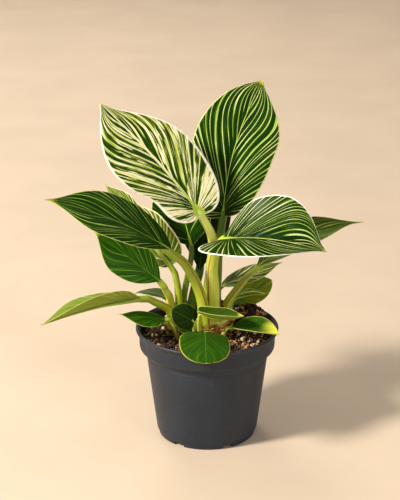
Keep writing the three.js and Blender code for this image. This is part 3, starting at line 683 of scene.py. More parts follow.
def speckled(name, dark, light, roughness, grain, squash=1.0, own=0.0, relief=None, **uniform):
    """A material of two colours that a fine noise mixes. grain: the noise's scale, detail and roughness.
    squash: how much slower it changes along Z. own: its part in the colour where field "grain" holds a shade
    for each small part. relief: distance and strength of its bump."""
    surface = Surface(name, Roughness=roughness, **uniform)
    where = surface.where()
    if squash < 1:
        x, y, z = where.parts()
        where = vector(x, y, z * squash)
    speck = where.noise(*grain)
    if own:
        factor = ((speck - 0.5) * own + surface.field("grain")[0]).step(0.0, 1.0)
    else:
        factor = speck.step(0.3, 0.7)
    surface.set("Base Color", mix(factor, dark, light))
    if relief:
        surface.bump(speck, *relief)
    return surface.material


# ---------------- leaves


class Midrib:
    """A leaf's curve from joint to tip, with its own axes at every station."""

    def __init__(self, leaf):
        self.joint, self.tip, self.face = (np.array(v, float) for v in (leaf.route[-1], leaf.tip, leaf.face))
        span = self.tip - self.joint
        self.length = np.linalg.norm(span)
        along = span / self.length
        up = unit(self.face - self.face.dot(along) * along)
        arch, sway = leaf.bow
        self.bend = (self.joint + self.tip) / 2 + 2 * self.length * (arch * up + sway * np.cross(along, up))

    def point(self, s):
        """Lobes that reach back past the joint follow the straight line through it."""
        s = np.asarray(s, float)[..., None]
        inside = (1 - s) ** 2 * self.joint + 2 * s * (1 - s) * self.bend + s * s * self.tip
        return np.where(s < 0, self.joint + 2 * s * (self.bend - self.joint), inside)

    def axes(self, s):
        """Directions along the midrib, up and to the right."""
        t = np.clip(np.asarray(s, float), 0, 1)[..., None]
        along = unit((1 - t) * (self.bend - self.joint) + t * (self.tip - self.bend))
        up = unit(self.face - (along @ self.face)[..., None] * along)
        return along, up, np.cross(along, up)


def outline(half, drip, r):
    """The outline of one half from base (r = 0) past the widest place (r = 0.5) to the tip (r = 1): share of
    the blade's length, and distance from the midrib in mm."""
    w, widest = half.width, half.widest
    first = r < 0.5
    t = np.where(first, 2 * r, 2 * r - 1)
    tip_x = cubic(widest, widest + HANDLES.behind * (1 - widest), 1 - half.tip, 1, t)
    tip_x -= drip * (t - t**DRIP_POINT)
    x = np.where(first, cubic(0, -half.lobe, HANDLES.before * widest, widest, t), tip_x)
    y = np.where(first, cubic(0, half.full * w, w, w, t), cubic(w, w, half.taper * w, 0, t))
    if half.dent:
        at, depth, spread = half.dent
        y = y * (1 - depth * np.exp(-(((x - at) / spread) ** 2)))
    return x, y


def mesh_rows(leaf, stretch):
    """Rows of a blade's mesh: where each starts on the midrib, and for each half where it ends on the
    margin. The fan of rows at the base follows its veins."""
    fan, rows = leaf.detail.fan, leaf.detail.rows
    fan_end = VEINS.fan + VEINS.wedge_fan * max(0, *(-half.lobe for half in leaf.halves))
    first = np.arange(fan) / fan
    share = 1 - (1 - np.arange(rows + 1) / rows) ** VEINS.crowding
    starts = np.concatenate([fan_end * first, fan_end + (1 - fan_end) * share])
    ends = []
    for half in leaf.halves:
        r = np.linspace(0.5, 1, 200)
        last = np.interp(fan_end + stretch, outline(half, leaf.drip, r)[0], r)
        ends.append(np.concatenate([last * first, 1 - (1 - last) * (1 - share) ** VEINS.lean]))
    return starts, ends


def half_surface(midrib, half, hand, x, y):
    """Points of the bent blade at (x, y); hand is 1 on the right half and -1 on the left."""
    fold, curl = radians(half.fold), radians(half.curl) or NO_CURL
    reach = half.width / curl
    angle = fold + curl * y / half.width
    _, up, side = midrib.axes(x)
    out = hand * reach * (np.sin(angle) - sin(fold))
    rise = reach * (cos(fold) - np.cos(angle))
    return midrib.point(x) + side * out[..., None] + up * rise[..., None]


def margin_to_margin(halves):
    """Whole rows out of those of the right and the left half, which both start on the midrib."""
    right, left = halves
    return np.concatenate([left[:, ::-1], right[:, 1:]], axis=1)


def half_rows(leaf, midrib, s, v, half, hand, r):
    """Points of one half, their places along the midrib, where on it their veins start, and how far in mm
    the veins have run. The rows start on the midrib at s and end on the margin at r, with points at shares
    v of the way."""
    fan = leaf.detail.fan
    going = v**VEINS.leave
    bow = 1 - (1 - VEINS.bow) * (1 - smooth(0, 1, np.arange(len(s)) / fan))
    out_x, out_y = outline(half, leaf.drip, r)
    x = s[:, None] + (out_x - s)[:, None] * going
    beyond_widest = np.interp(x, *outline(half, leaf.drip, np.linspace(0.5, 1, 60)))
    wide = np.where(r[:, None] < 0.5, out_y[:, None], beyond_widest)
    wide[:, -1] = out_y
    y = wide * v ** bow[:, None]
    start = np.where(s[:, None] < s[fan], s[:, None], x - (out_x[fan] - s[fan]) * going)
    run = hand * np.hypot((x - start) * midrib.length, y)
    return half_surface(midrib, half, hand, x, y), x, start, run


def way_along(points, axis):
    """Distance from the first point, along one axis of a grid of points."""
    steps = np.linalg.norm(np.diff(points, axis=axis), axis=-1)
    return np.concatenate([np.zeros_like(steps.take([0], axis)), np.cumsum(steps, axis)], axis)


def vein_places(leaf, midrib, stretch, s, start, margin):
    """Place of each vein across the others, in mm, from where it starts on the midrib and from the length
    of the margin up to each row."""
    fan = leaf.detail.fan
    width = sum(half.width for half in leaf.halves) / 2
    slant = width / hypot(width, stretch * midrib.length)
    after = margin[fan] + (1 - s[fan]) * midrib.length * slant / VEINS.packing
    return VEINS.packing * np.interp(start, [*s[: fan + 1], 1], [*margin[: fan + 1], after])


def lifted(leaf, number, s, signed, across):
    """Height of the margin's waves and of the quilted surface between the veins. signed is the share of the
    way out to the margin, below 0 on the left half."""
    reach = np.abs(signed)
    fade = np.sin(np.pi * np.clip(s, 0, 1))[:, None]
    length = WAVE.share * across.max() + WAVE.length
    shift = WAVE.leaf_shift * number + WAVE.half_shift * (signed > 0)
    waves = np.sin(2 * np.pi * (across / length + shift))
    quilt = np.abs(np.sin(np.pi * across / QUILT.spacing)) - QUILT.mean
    return leaf.wave * waves * reach**3 * fade + QUILT.height * quilt * np.sin(np.pi * reach**0.8) * fade


def thin_body(middle, normals, reach):
    """Points, faces and face materials of both sides of a blade and its rounded margin."""
    half_thick = (BLADE_MIDDLE + (BLADE_MARGIN - BLADE_MIDDLE) * reach**3)[..., None] / 2
    rims = middle[:, [0, -1]] + unit(middle[:, [0, -1]] - middle[:, [1, -2]]) * BLADE_RIM
    rims[[0, -1]] = middle[[0, -1]][:, [0, -1]]
    sides = [(middle + normals * side).reshape(-1, 3) for side in (half_thick, -half_thick)]
    points = np.concatenate([*sides, rims[:, 0], rims[:, 1]])
    ids = np.arange(reach.size).reshape(reach.shape)
    low = ids + ids.size
    left = 2 * ids.size + np.arange(len(ids))
    right = left + len(ids)
    edges = [(left, ids[:, 0]), (low[:, 0], left), (ids[:, -1], right), (right, low[:, -1])]
    faces = [grid_faces(ids), grid_faces(low)[:, ::-1], *(strip(*edge) for edge in edges)]
    paint = [np.full(len(some), index) for some, index in zip(faces, (0, 1, 0, 1, 0, 1))]
    return points, np.concatenate(faces), np.concatenate(paint)


def both_sides(*numbers):
    """A field of three numbers for both sides of a blade and its margins."""
    field = np.stack(numbers, axis=-1)
    return np.concatenate([field.reshape(-1, 3)] * 2 + [field[:, 0], field[:, -1]])


def blade(leaf, number, stretch):
    """Points, faces, face materials and fields of one blade, as a closed thin body."""
    midrib = Midrib(leaf)
    columns = leaf.detail.columns
    s, ends = mesh_rows(leaf, stretch)
    v = np.linspace(0, 1, columns + 1)
    halves = [half_rows(leaf, midrib, s, v, *side) for side in zip(leaf.halves, (1, -1), ends)]
    middle, along, start, run = (margin_to_margin(pair) for pair in zip(*halves))
    margin = way_along(middle[:, [0, -1]], 0).mean(axis=1)
    across = vein_places(leaf, midrib, stretch, s, start, margin)

    normals = unit(np.cross(np.gradient(middle, axis=1), np.gradient(middle, axis=0)))
    normals[0] = midrib.axes(0.0)[1]
    normals[-1] = midrib.axes(1.0)[1]
    signed = np.concatenate([-v[::-1], v[1:]])[None, :].repeat(len(s), 0)
    middle = middle + normals * lifted(leaf, number, s, signed, across)[..., None]

    way = way_along(middle, 1)
    from_edge, from_middle = np.minimum(way, way[:, [-1]] - way), np.abs(way - way[:, [columns]])
    fields = {
        "stripe": both_sides(across, run, np.full_like(signed, number)),
        "place": both_sides(along, from_edge, from_middle),
    }
    return *thin_body(middle, normals, np.abs(signed)), fields


def stalk_line(leaf, midrib):
    """The stalk's centre line, a curve up to the joint that goes over to a line close under the midrib, with
    its radius, its place from root (0) over joint (1) to the rib's end, and the way up along the rib."""
    steps, joint_at = leaf.detail.steps, len(leaf.route) - 1
    control = list(leaf.route)
    radii = list(np.linspace(*leaf.stalk, len(control)))
    for s, share in zip(RIB_STATIONS, RIB_RADII):
        radii.append(max(SMALLEST_RIB, leaf.stalk[1] * share))
        control.append(midrib.point(s) - RIB_DROP * radii[-1] * midrib.axes(s)[1])
    lower = np.linspace(0, joint_at, steps + 1)
    s = np.linspace(0, RIB_END.place, steps // 2 + 1)[1:]
    near = spline(control, joint_at + np.minimum(s / RIB_STATIONS[0], 1))
    rib_radius = np.interp(s, (0, *RIB_STATIONS, RIB_END.place), (*radii[joint_at:], RIB_END.radius))
    rib_up = midrib.axes(s)[1]
    weight = smooth(0, RIB_STATIONS[0], s)[:, None]
    exact = midrib.point(s) - RIB_SINK * rib_radius[:, None] * rib_up
    centre = np.vstack([spline(control, lower), near * (1 - weight) + exact * weight])
    for _ in range(STALK_SMOOTHING):
        centre[1:steps] = (centre[: steps - 1] + 2 * centre[1:steps] + centre[2 : steps + 1]) / 4
    radius = np.concatenate([np.interp(lower, range(len(radii)), radii), rib_radius])
    return centre, radius, np.concatenate([lower / joint_at, 1 + s]), rib_up


def stalk_axes(centre, joint_up, rib_up):
    """Directions to the side and up along a stalk, carried down from the joint without a twist."""
    along = unit(np.gradient(centre, axis=0))
    joint = len(centre) - len(rib_up) - 1
    up = np.vstack([np.zeros((joint, 3)), joint_up, rib_up])
    for i in range(joint - 1, -1, -1):
        up[i] = up[i + 1] - up[i + 1].dot(along[i]) * along[i]
        up[i] /= np.linalg.norm(up[i])
    up = unit(up - (up * along).sum(1, keepdims=True) * along)
    return np.cross(along, up), up


def stalk_section(leaf, number, turn, radius, place):
    """How far a stalk's skin is from its centre line, to the side and up. Its upper side is a channel
    between two ridges, its base is spread where it sheathes the stem, and the rib is flat on top."""
    angle = 2 * np.pi * turn
    from_top = np.abs((turn - 0.25 + 0.5) % 1 - 0.5)
    ridges = CHANNEL.ridge_height * np.exp(-(((from_top - CHANNEL.ridge_turn) / CHANNEL.ridge_width) ** 2))
    channel = CHANNEL.depth * np.exp(-((from_top / CHANNEL.width) ** 2))
    on_stalk = 1 - smooth(0.95, 1.15, place)
    swell = 0.02 * np.sin(19 * place + number)
    girth = radius * (1 + on_stalk * (ridges - channel)) * (1 + swell)
    flat = 1 - CHANNEL.under * smooth(1.0, 1.12, place) * (np.sin(angle) > 0)
    spread = 1 + SHEATH_SPREAD * smooth(4, 5.4, leaf.stalk[0]) * (1 - smooth(0.15, 0.8, place))
    return girth * spread * np.cos(angle), girth * flat * np.sin(angle)


def stalk(leaf, number):
    """Points, faces and field of the stalk, which runs on as the rib, flush with the blade."""
    midrib = Midrib(leaf)
    sides = leaf.detail.sides
    centre, radius, place, rib_up = stalk_line(leaf, midrib)
    side, up = stalk_axes(centre, midrib.axes(0.0)[1], rib_up)
    sunk = JOINT_DROP * radius * smooth(0.8, 1.0, place) * (1 - smooth(1.0, 1.0 + RIB_STATIONS[0], place))
    centre = centre - sunk[:, None] * up
    turn = np.arange(sides) / sides
    sideways, upwards = stalk_section(leaf, number, turn, radius[:, None], place[:, None])
    ring = centre[:, None] + side[:, None] * sideways[..., None] + up[:, None] * upwards[..., None]
    points = np.concatenate([ring.reshape(-1, 3), centre[[0, -1]]])

    ids = np.arange(len(points) - 2).reshape(-1, sides)
    after = np.roll(ids, -1, axis=1)
    root, end = ids.size + np.zeros(sides, int), ids.size + 1 + np.zeros(sides, int)
    caps = [*np.stack([root, ids[0], after[0]], axis=1), *np.stack([end, after[-1], ids[-1]], axis=1)]
    shown = np.broadcast_arrays(turn, place[:, None], float(number))
    ends = [[0.25, place[0], number], [0.25, place[-1], number]]
    field = np.concatenate([np.stack(shown, axis=-1).reshape(-1, 3), ends])
    return points, [*grid_faces(ids, closed=True)[:, ::-1], *caps], field


def make_leaves():
    fronts = {look: blade_material("blade_" + look, LOOKS[look], False) for look in LOOKS}
    backs = {look: blade_material("back_" + look, LOOKS[look], True) for look in LOOKS}
    skins = {skin: stalk_material("stalk_" + skin, SKINS[skin]) for skin in SKINS}
    slots = {row["node"]: row["material_slot"] for row in frame["record"]["subparts"]}
    for number, (name, leaf) in enumerate(LEAVES.items()):
        points, faces, paint, fields = blade(leaf, number, STRETCHED.get(name, VEINS.stretch))
        stalk_points, stalk_faces, stripe = stalk(leaf, number)
        fields["stripe"] = np.concatenate([fields["stripe"], stripe])
        fields["place"] = np.concatenate([fields["place"], np.zeros_like(stalk_points)])
        piece(
            name.replace("leaf_", "foliage_"),
            np.concatenate([points, stalk_points]),
            [*faces, *(face + len(points) for face in stalk_faces)],
            slots[name],
            [fronts[leaf.look], backs[leaf.look], skins[leaf.skin]],
            nodes=[name],
            paint=np.concatenate([paint, np.full(len(stalk_faces), 2)]),
            fields=fields,
            merge=True,
        )


make_leaves()

# ---------------- pot


def lathe(profile, segments):
    """Points and faces of a profile of (radius, height) turned about Z, with flat ends."""
    radius, height = np.array(profile, float).T[:, :, None]
    angle = turns(segments)
    points = np.stack([radius * np.cos(angle), radius * np.sin(angle), height + 0 * angle], axis=-1)
    return points.reshape(-1, 3), tube_faces(height.size * segments, segments)


def rounded(profile):
    """The profile with its corners cut into short arcs."""
    made = [profile[0]]
    for before, corner, after in zip(profile, profile[1:], profile[2:]):
        corner = np.array(corner, float)
        ends = []
        for other in (before, after):
            way = np.array(other, float) - corner
            length = np.linalg.norm(way)
            ends.append(corner + way / length * min(CORNER.share * length, CORNER.longest))
        for t in np.linspace(0, 1, CORNER.steps + 1):
            made.append(tuple((1 - t) ** 2 * ends[0] + 2 * t * (1 - t) * corner + t * t * ends[1]))
    return [*made, profile[-1]]


def pot_plastic():
    surface = Surface("pot_plastic", Specular_IOR_Level=0.35)
    where = surface.where()
    cloud = where.noise(28.0, 3)
    dust = where.noise(160.0, 4, 0.65)
    colour = mix(cloud.step(0.3, 0.7), (0.0150, 0.0205, 0.0320), (0.0220, 0.0295, 0.0440))
    colour = mix(dust.step(0.60, 0.80, 0.0, 0.35), colour, (0.10, 0.095, 0.09))
    soiled = where.parts()[2].step(0.086, 0.095) * dust.step(0.48, 0.62) * 0.35
    surface.set("Base Color", mix(soiled, colour, (0.11, 0.085, 0.06)))
    surface.set("Roughness", cloud.step(0.3, 0.7, 0.42, 0.58))
    surface.bump(where.noise(1400.0), 0.00008, 0.35)
    return surface.material


def cut(target, cutters):
    """Takes the cutters out of the target's mesh."""
    for cutter in cutters:
        modifier = target.modifiers.new("cut", "BOOLEAN")
        modifier.operation = "DIFFERENCE"
        modifier.solver = "EXACT"
        modifier.object = cutter
    bpy.context.view_layer.update()
    whole = target.evaluated_get(bpy.context.evaluated_depsgraph_get())
    mesh = bpy.data.meshes.new_from_object(whole)
    target.modifiers.clear()
    target.data = mesh
    for cutter in cutters:
        bpy.data.objects.remove(cutter)


def notch_cutter(turn):
    """A box across the foot ring, in one direction."""
    corners = np.array([(x, y, z) for z in (-1, 1) for x, y in ((-1, -1), (1, -1), (1, 1), (-1, 1))], float)
    x, y, z = (corners * (NOTCH.depth / 2, NOTCH.width / 2, NOTCH.height)).T
    faces = [(3, 2, 1, 0), (4, 5, 6, 7), (0, 1, 5, 4), (1, 2, 6, 5), (2, 3, 7, 6), (3, 0, 4, 7)]
    return mesh_object("notch", np.stack([*rotated(x + POT.foot - 3, y, turn), z], axis=1), faces)


def drain_cutter(turn, sides=32):
    points, faces = lathe([(DRAIN.radius, -3), (DRAIN.radius, 3 * POT.floor_top)], sides)
    return mesh_object("drain", points + (*around(DRAIN.ring, turn), 0), faces)


def make_pot():
    top, lip = POT.height, POT.height - 3.5
    foot, neck, band, rim, wall = POT.foot, POT.shoulder, POT.band, POT.rim, POT.wall
    profile = [
        (AXIS, 0),
        (POT.disc, 0),
        (POT.disc + 1.5, POT.recess),
        (foot - 5.6, POT.recess),
        (foot - 4.4, 0),
        (foot - 2.2, 0),
        (foot - 1.6, 0.6),
        (foot - 1.2, POT.foot_height - 1),
        (foot, POT.foot_height),
        (neck - 0.35, SHOULDER - 7.2),
        (neck - 0.65, SHOULDER - 6.8),
        (neck, SHOULDER - 3.5),
        (neck + 0.8, SHOULDER - 2.4),
        (band - 2, SHOULDER - 1),
        (band - 0.4, SHOULDER + 0.6),
        (band, SHOULDER + 2.5),
        (band + 0.2, lip - 0.3),
        (rim - 0.7, lip + 0.3),
        (rim, lip + 1.5),
        (rim, top - 0.8),
        (rim - 0.7, top),
        (rim - 1.8, top),
        (band - 0.8, top - 2),
        (band - wall, SHOULDER + 2.5),
        (neck - wall + 0.3, SHOULDER - 2),
        (foot - wall - 0.1, POT.floor_top + 1.3),
        (foot - wall - 1.3, POT.floor_top),
        (AXIS, POT.floor_top),
    ]
    points, faces = lathe(rounded(profile), POT.segments)
    shell = piece("pot_shell", points, faces, "pot_plastic", [pot_plastic()], nodes=["pot"])
    cutters = []
    for i in range(NOTCH.count):
        turn = radians(NOTCH.turn + (i + 0.5) * 360 / NOTCH.count)
        cutters += [notch_cutter(turn), drain_cutter(turn)]
    cut(shell, cutters)
    shell.data.set_sharp_from_angle(angle=radians(CREASE))


make_pot()

# ---------------- potting mix


def soil_height(x, y):
    """The frame's own lumpy top."""
    away = ((x - MOUND.x) ** 2 + (y - MOUND.y) ** 2) / (2 * MOUND.spread**2)
    lumps = (
        sin(0.83 * x + 1.9) * cos(0.71 * y - 0.4)
        + 0.6 * sin(1.57 * x - 0.9 * y)
        + 0.4 * cos(0.6 * x + 1.43 * y + 1.1)
    )
    return SOIL.level + MOUND.height * exp(-away) + SOIL.grain * lumps / 2


def crumbled(x, y):
    """The top with its crumbs."""
    coarse = noise.noise(Vector((0.21 * x, 0.21 * y, 3.1)))
    fine = noise.noise(Vector((0.62 * x, 0.62 * y, 7.7)))
    return soil_height(x, y) + 1.5 * coarse + 0.9 * fine


def grain_material(name, dark, light, scale, roughness=0.95):
    return speckled(name, dark, light, roughness, (scale, 4, 0.7), own=1.2, relief=(0.0006, 0.8))


def make_soil_bed():
    floor = POT.floor_top + 0.3
    side = [
        (AXIS, floor),
        (POT.foot - POT.wall - 1.8, floor),
        (POT.foot - POT.wall - 0.6, POT.floor_top + 1.8),
        (POT.shoulder - POT.wall - 0.3, SHOULDER - 2),
        (SOIL.radius - 0.1, SHOULDER + 3),
    ]
    top = []
    for k in range(SOIL.rings + 1):
        radius = max(SOIL.radius * (1 - k / SOIL.rings), AXIS)
        for a in turns(SOIL.segments):
            x, y = around(radius, a)
            top.append((x, y, crumbled(x, y)))
    points = np.concatenate([lathe(side, SOIL.segments)[0], top])
    material = grain_material("mix_bed", (0.004, 0.003, 0.002), (0.050, 0.026, 0.012), 420)
    faces, shades = tube_faces(len(points), SOIL.segments), np.full(points.shape, 0.25)
    piece("mix_bed", points, faces, "potting_mix", [material], nodes=["soil"], fields={"grain": shades})


def grain_shape(fine):
    """The corners and faces of an icosahedron, once divided if fine."""
    work = bmesh.new()
    bmesh.ops.create_icosphere(work, subdivisions=2 if fine else 1, radius=1.0)
    corners = np.array([v.co for v in work.verts])
    faces = np.array([[v.index for v in face.verts] for face in work.faces])
    work.free()
    return corners, faces


def scatter(name, count, size, stretch, jitter, fine, material, seed, region=None, sink=0.35, lean=0.5):
    """Grains of one kind, seated on the mix, clear of stalks and stems. size is the least and most radius,
    stretch the shares of it along the grain's own three axes, and region the place and spread of a group.
    jitter: how uneven a grain is. sink: share of it that lies in the mix. lean: how far grains are tilted."""
    draw = random.Random(seed)
    corners, faces = grain_shape(fine)
    feet = [(stem.x, stem.y, stem.radius) for stem in STEMS.values()]
    feet += [(*leaf.route[0][:2], leaf.stalk[0]) for leaf in LEAVES.values()]
    heap = Heap()
    made = 0
    while made < count:
        if region:
            x, y = draw.gauss(region[0], region[2]), draw.gauss(region[1], region[2])
        else:
            radius = (SOIL.radius - 1.5) * sqrt(draw.random())
            turn = 2 * pi * draw.random()
            x, y = around(radius, turn)
        grain = draw.uniform(*size) * draw.uniform(0.7, 1.15)
        clear = all(hypot(x - fx, y - fy) > fr + 0.5 * grain for fx, fy, fr in feet)
        if not clear or hypot(x, y) > SOIL.radius - 0.9 * grain:
            continue
        uneven = 1 + np.array([[draw.uniform(-jitter, jitter)] for _ in corners])
        across, deep, high = (corners * uneven * stretch * grain).T
        spin, tilt = draw.uniform(0, 2 * pi), draw.gauss(0, lean)
        across, high = rotated(across, high, tilt)
        across, deep = rotated(across, deep, spin)
        place = (x, y, crumbled(x, y) + grain * stretch[2] * (1 - 2 * sink))
        heap.add(np.stack([across, deep, high], axis=1) + place, faces, (draw.random(), draw.random(), 0))
        made += 1
    heap.piece(name, "potting_mix", material)


def make_mix():
    make_soil_bed()
    peat = grain_material("mix_peat", (0.004, 0.0022, 0.0015), (0.075, 0.028, 0.010), 600)
    bark = grain_material("mix_bark", (0.12, 0.036, 0.010), (0.72, 0.34, 0.12), 500, 0.8)
    straw = grain_material("mix_straw", (0.38, 0.19, 0.07), (0.90, 0.66, 0.36), 500, 0.8)
    white = grain_material("mix_perlite", (0.66, 0.54, 0.36), (0.95, 0.86, 0.68), 300)
    heap = (MOUND.x, MOUND.y, 8)
    scatter("mix_crumbs", 1500, (0.8, 1.9), (1, 0.85, 0.7), 0.25, False, peat, 11)
    scatter("mix_lumps", 230, (1.8, 3.2), (1, 0.8, 0.65), 0.22, True, peat, 12)
    scatter("mix_clods", 46, (1.8, 3.0), (1, 0.85, 0.75), 0.35, True, peat, 17, heap)
    scatter("mix_heap", 110, (1.1, 2.4), (1, 0.6, 0.45), 0.3, True, bark, 18, heap, 0.15, 0.8)
    scatter("mix_bark", 300, (1.5, 3.4), (1, 0.6, 0.34), 0.22, True, bark, 13)
    scatter("mix_slivers", 150, (1.8, 4.2), (1, 0.24, 0.16), 0.2, True, straw, 14, lean=0.35)
    scatter("mix_chips", 46, (1.8, 3.8), (1, 0.6, 0.34), 0.25, True, straw, 15, (30, -28, 9), 0.2)
    scatter("mix_perlite", 100, (0.8, 1.9), (1, 0.9, 0.85), 0.12, True, white, 16, sink=0.2)


make_mix()

# ---------------- stems and sheaths


def stem_skin():
    surface = Surface("stem_skin", Roughness=0.55, Specular_IOR_Level=0.2)
    x, y, z = surface.where().parts()
    streaks = vector(x, y, z * 0.15).noise(700.0, 3)
    # Both colours are lighter than the stem's own: painted light, to make up for the shade that the cupped
    # leaf casts on the stem.
    colour = mix(streaks.step(0.35, 0.7), (0.66, 0.68, 0.07), (0.90, 0.86, 0.28))
    soiled = (streaks * 0.006 + z).step(0.092, 0.100, 0.85, 0.0)
    surface.set("Base Color", mix(soiled, colour, (0.20, 0.10, 0.035)))
    surface.bump(streaks, 0.0004, 0.6)
    return surface.material


def stem_girth(stem, share):
    """Radius of a short stem at a share of its height."""
    return stem.radius + (stem.top_radius - stem.radius) * smooth(0.45, 0.85, share)


def girth_at(stem, z):
    return stem_girth(stem, min(1.0, (z - stem.bottom) / (stem.top - stem.bottom) / STEM_FORM.rise))


def stalks_from(stem):
    """Roots of all stalks, seen from the stem's axis: place, height and radius."""
    return [(leaf.route[0][0] - stem.x, leaf.route[0][1] - stem.y, leaf.route[0][2], leaf.stalk[0])
            for leaf in LEAVES.values()]


def make_stem(name, stem, material):
    """A short stem, lobed where the stalks leave it."""
    lobes = []
    for dx, dy, z, _ in stalks_from(stem):
        if hypot(dx, dy) < stem.top_radius + 2 and z > 90:
            lobes.append(atan2(dy, dx))
    points = []
    for k in range(STEM_FORM.rows + 1):
        share = k / STEM_FORM.rows
        z = stem.bottom + (stem.top - stem.bottom) * min(1.0, STEM_FORM.rise * share)
        swell = stem_girth(stem, share)
        closing = sqrt(max(0.0, 1 - max(0.0, (share - 1 + STEM_FORM.closing) / STEM_FORM.closing) ** 2))
        ring = STEM_FORM.rings * sin(1.1 * z) * (share < 0.6)
        for a in turns(STEM_FORM.sides):
            away = [(a - lobe + pi) % (2 * pi) - pi for lobe in lobes]
            lobe = max(exp(-((angle / STEM_FORM.lobe_width) ** 2)) for angle in away)
            wrinkle = STEM_FORM.wrinkles * noise.noise(Vector((2 * cos(a), 2 * sin(a), 0.35 * z)))
            radius = (swell * (0.94 + STEM_FORM.lobe * lobe * share) + wrinkle + ring) * closing + AXIS
            top = z - STEM_FORM.dip * (1 - lobe) * smooth(0.8, 1.0, share)
            points.append((*around(radius, a, stem.x, stem.y), top))
    faces = tube_faces(len(points), STEM_FORM.sides)
    piece(name.replace("stem_", "crown_"), points, faces, "stem", [material], nodes=[name])


def make_sheaths(name, stem, count, tallest, material, seed, across=6, up=12):
    """Dry papery remains of old sheaths around a stem's foot: torn strips that lean a little outwards."""
    draw = random.Random(seed)
    heap = Heap()
    outer = np.arange((up + 1) * (across + 1)).reshape(up + 1, across + 1)
    inner = outer + outer.size
    edges = [strip(inner[:, 0], outer[:, 0]), strip(outer[:, -1], inner[:, -1])]
    edges += [strip(outer[-1], inner[-1]), strip(inner[0], outer[0])]
    faces = np.concatenate([grid_faces(outer), grid_faces(inner)[:, ::-1], *edges])
    for k in range(count):
        turn = 2 * pi * (k + draw.uniform(-0.3, 0.3)) / count
        width, tall = draw.uniform(1.6, 5.0), tallest * draw.uniform(0.4, 1.0)
        lean, twist, offset = draw.uniform(0.0, 0.14), draw.uniform(-0.25, 0.25), draw.uniform(0.3, 1.5)
        front, back = [], []
        for j, i in np.ndindex(outer.shape):
            t, u = j / up, i / across - 0.5
            a = turn + (u * width * (1 - 0.75 * t**1.5)) / stem.radius + twist * t
            torn = 0.9 * noise.noise(Vector((3 * u + k, 2 * t, seed)))
            z = SOIL.level - 2 + t * tall + 1.6 * torn * t
            for side, layer in ((0.0, front), (-0.3, back)):
                radius = girth_at(stem, z) + offset + side + lean * t * t * tall + 0.6 * torn * t
                layer.append((*around(radius, a, stem.x, stem.y), z))
        heap.add(front + back, faces, (draw.random(), 0, 0))
    heap.piece(name, "stem", material)


def envelope(stem, turn, z):
    """Distance from the stem's axis to its outside, stalks included, in one direction."""
    girth = reach = girth_at(stem, z)
    for dx, dy, _, radius in stalks_from(stem):
        aside = dx * sin(turn) - dy * cos(turn)
        ahead = dx * cos(turn) + dy * sin(turn)
        if abs(aside) < radius and 0 < ahead < stem.top_radius + 4:
            reach = max(reach, ahead + sqrt(radius**2 - aside**2))
    return girth + (reach - girth) * smooth(stem.top - 13, stem.top - 8, z)


def make_fibres(name, stem, count, low, high, material, seed, steps=14, sides=6):
    """Brown fibres and old leaf scars that run round a stem's foot."""
    draw = random.Random(seed)
    heap = Heap()
    for k in range(count):
        begin, span = draw.uniform(0, 2 * pi), draw.uniform(0.4, 1.3)
        level, slope = draw.uniform(low, high), draw.uniform(-2.2, 2.2)
        tall, thick, offset = draw.uniform(0.3, 1.0), draw.uniform(0.15, 0.3), draw.uniform(0.0, 0.9)
        points = []
        for t in np.arange(steps + 1) / steps:
            turn = begin + span * t
            z = level + slope * (t - 0.5) + 1.1 * noise.noise(Vector((3 * t, 0.7 * k, seed)))
            radius = envelope(stem, turn, z) + offset + 0.8 * noise.noise(Vector((4 * t, 0.9 * k, seed + 5)))
            taper = max(0.05, sin(pi * t)) ** 0.6
            for a in turns(sides):
                out = radius + thick * taper * cos(a)
                points.append((*around(out, turn, stem.x, stem.y), z + tall * taper * sin(a)))
        heap.add(points, tube_faces(len(points), sides, turned=True), (draw.random(), 0, 0))
    heap.piece(name, "stem", material)


def make_stems():
    skin = stem_skin()
    brown = (0.22, 0.060, 0.008), (0.92, 0.44, 0.11)
    paper = speckled("sheath_paper", *brown, 0.75, (900.0, 3, 0.6), squash=0.2, own=1.3, relief=(0.0005, 0.9))
    for name, stem in STEMS.items():
        make_stem(name, stem, skin)
    make_sheaths("sheaths_main", STEMS["stem_main"], 46, 20, paper, 31)
    make_sheaths("sheaths_side", STEMS["stem_side"], 20, 10, paper, 32)
    make_fibres("fibres_main", STEMS["stem_main"], 130, 88, 103, paper, 33)
    make_fibres("fibres_side", STEMS["stem_side"], 50, 87, 96, paper, 34)


make_stems()

# ---------------- small things on the mix

STICK = [(-43.5, -3, 86), (-43.8, -3.2, 93), (-44.4, -3, 99.5)], (0.55, 0.45, 0.3)
DRY_SHEATH = [(13.5, -5, 103), (13, -6.5, 113), (11.5, -7, 123)], (1.9, 1.5, 0.25)
SPRIG = [(-23, -9, 88), (-28, -9, 90.5), (-36, -8.5, 90)], (0.5, 0.4, 0.2)
LEAFLETS = Sizes(count=6, length=4.6, width=1.3, turn=0.75, thickness=0.24)


def rod(path, radii, steps=14, sides=10):
    """Points and faces of a thin closed tube along a curve."""
    t = np.linspace(0, len(path) - 1, steps + 1)
    centre = spline(path, t)
    radius = np.interp(t, range(len(radii)), radii)
    along = unit(np.gradient(centre, axis=0))
    side = unit(np.cross(along, (0.3, 1.0, 0.1)))
    angle = turns(sides)[:, None]
    girth = radius[:, None, None] * (1 + 0.06 * np.sin(9 * t))[:, None, None]
    ring = side[:, None] * np.cos(angle) + np.cross(along, side)[:, None] * np.sin(angle)
    points = (centre[:, None] + girth * ring).reshape(-1, 3)
    return points, tube_faces(len(points), sides, turned=True)


def growth(name, dark, light, roughness):
    """Thin dry or young growth."""
    grain, relief = (1100.0, 3, 0.6), (0.0002, 0.5)
    return speckled(name, dark, light, roughness, grain, relief=relief, Specular_IOR_Level=0.3)


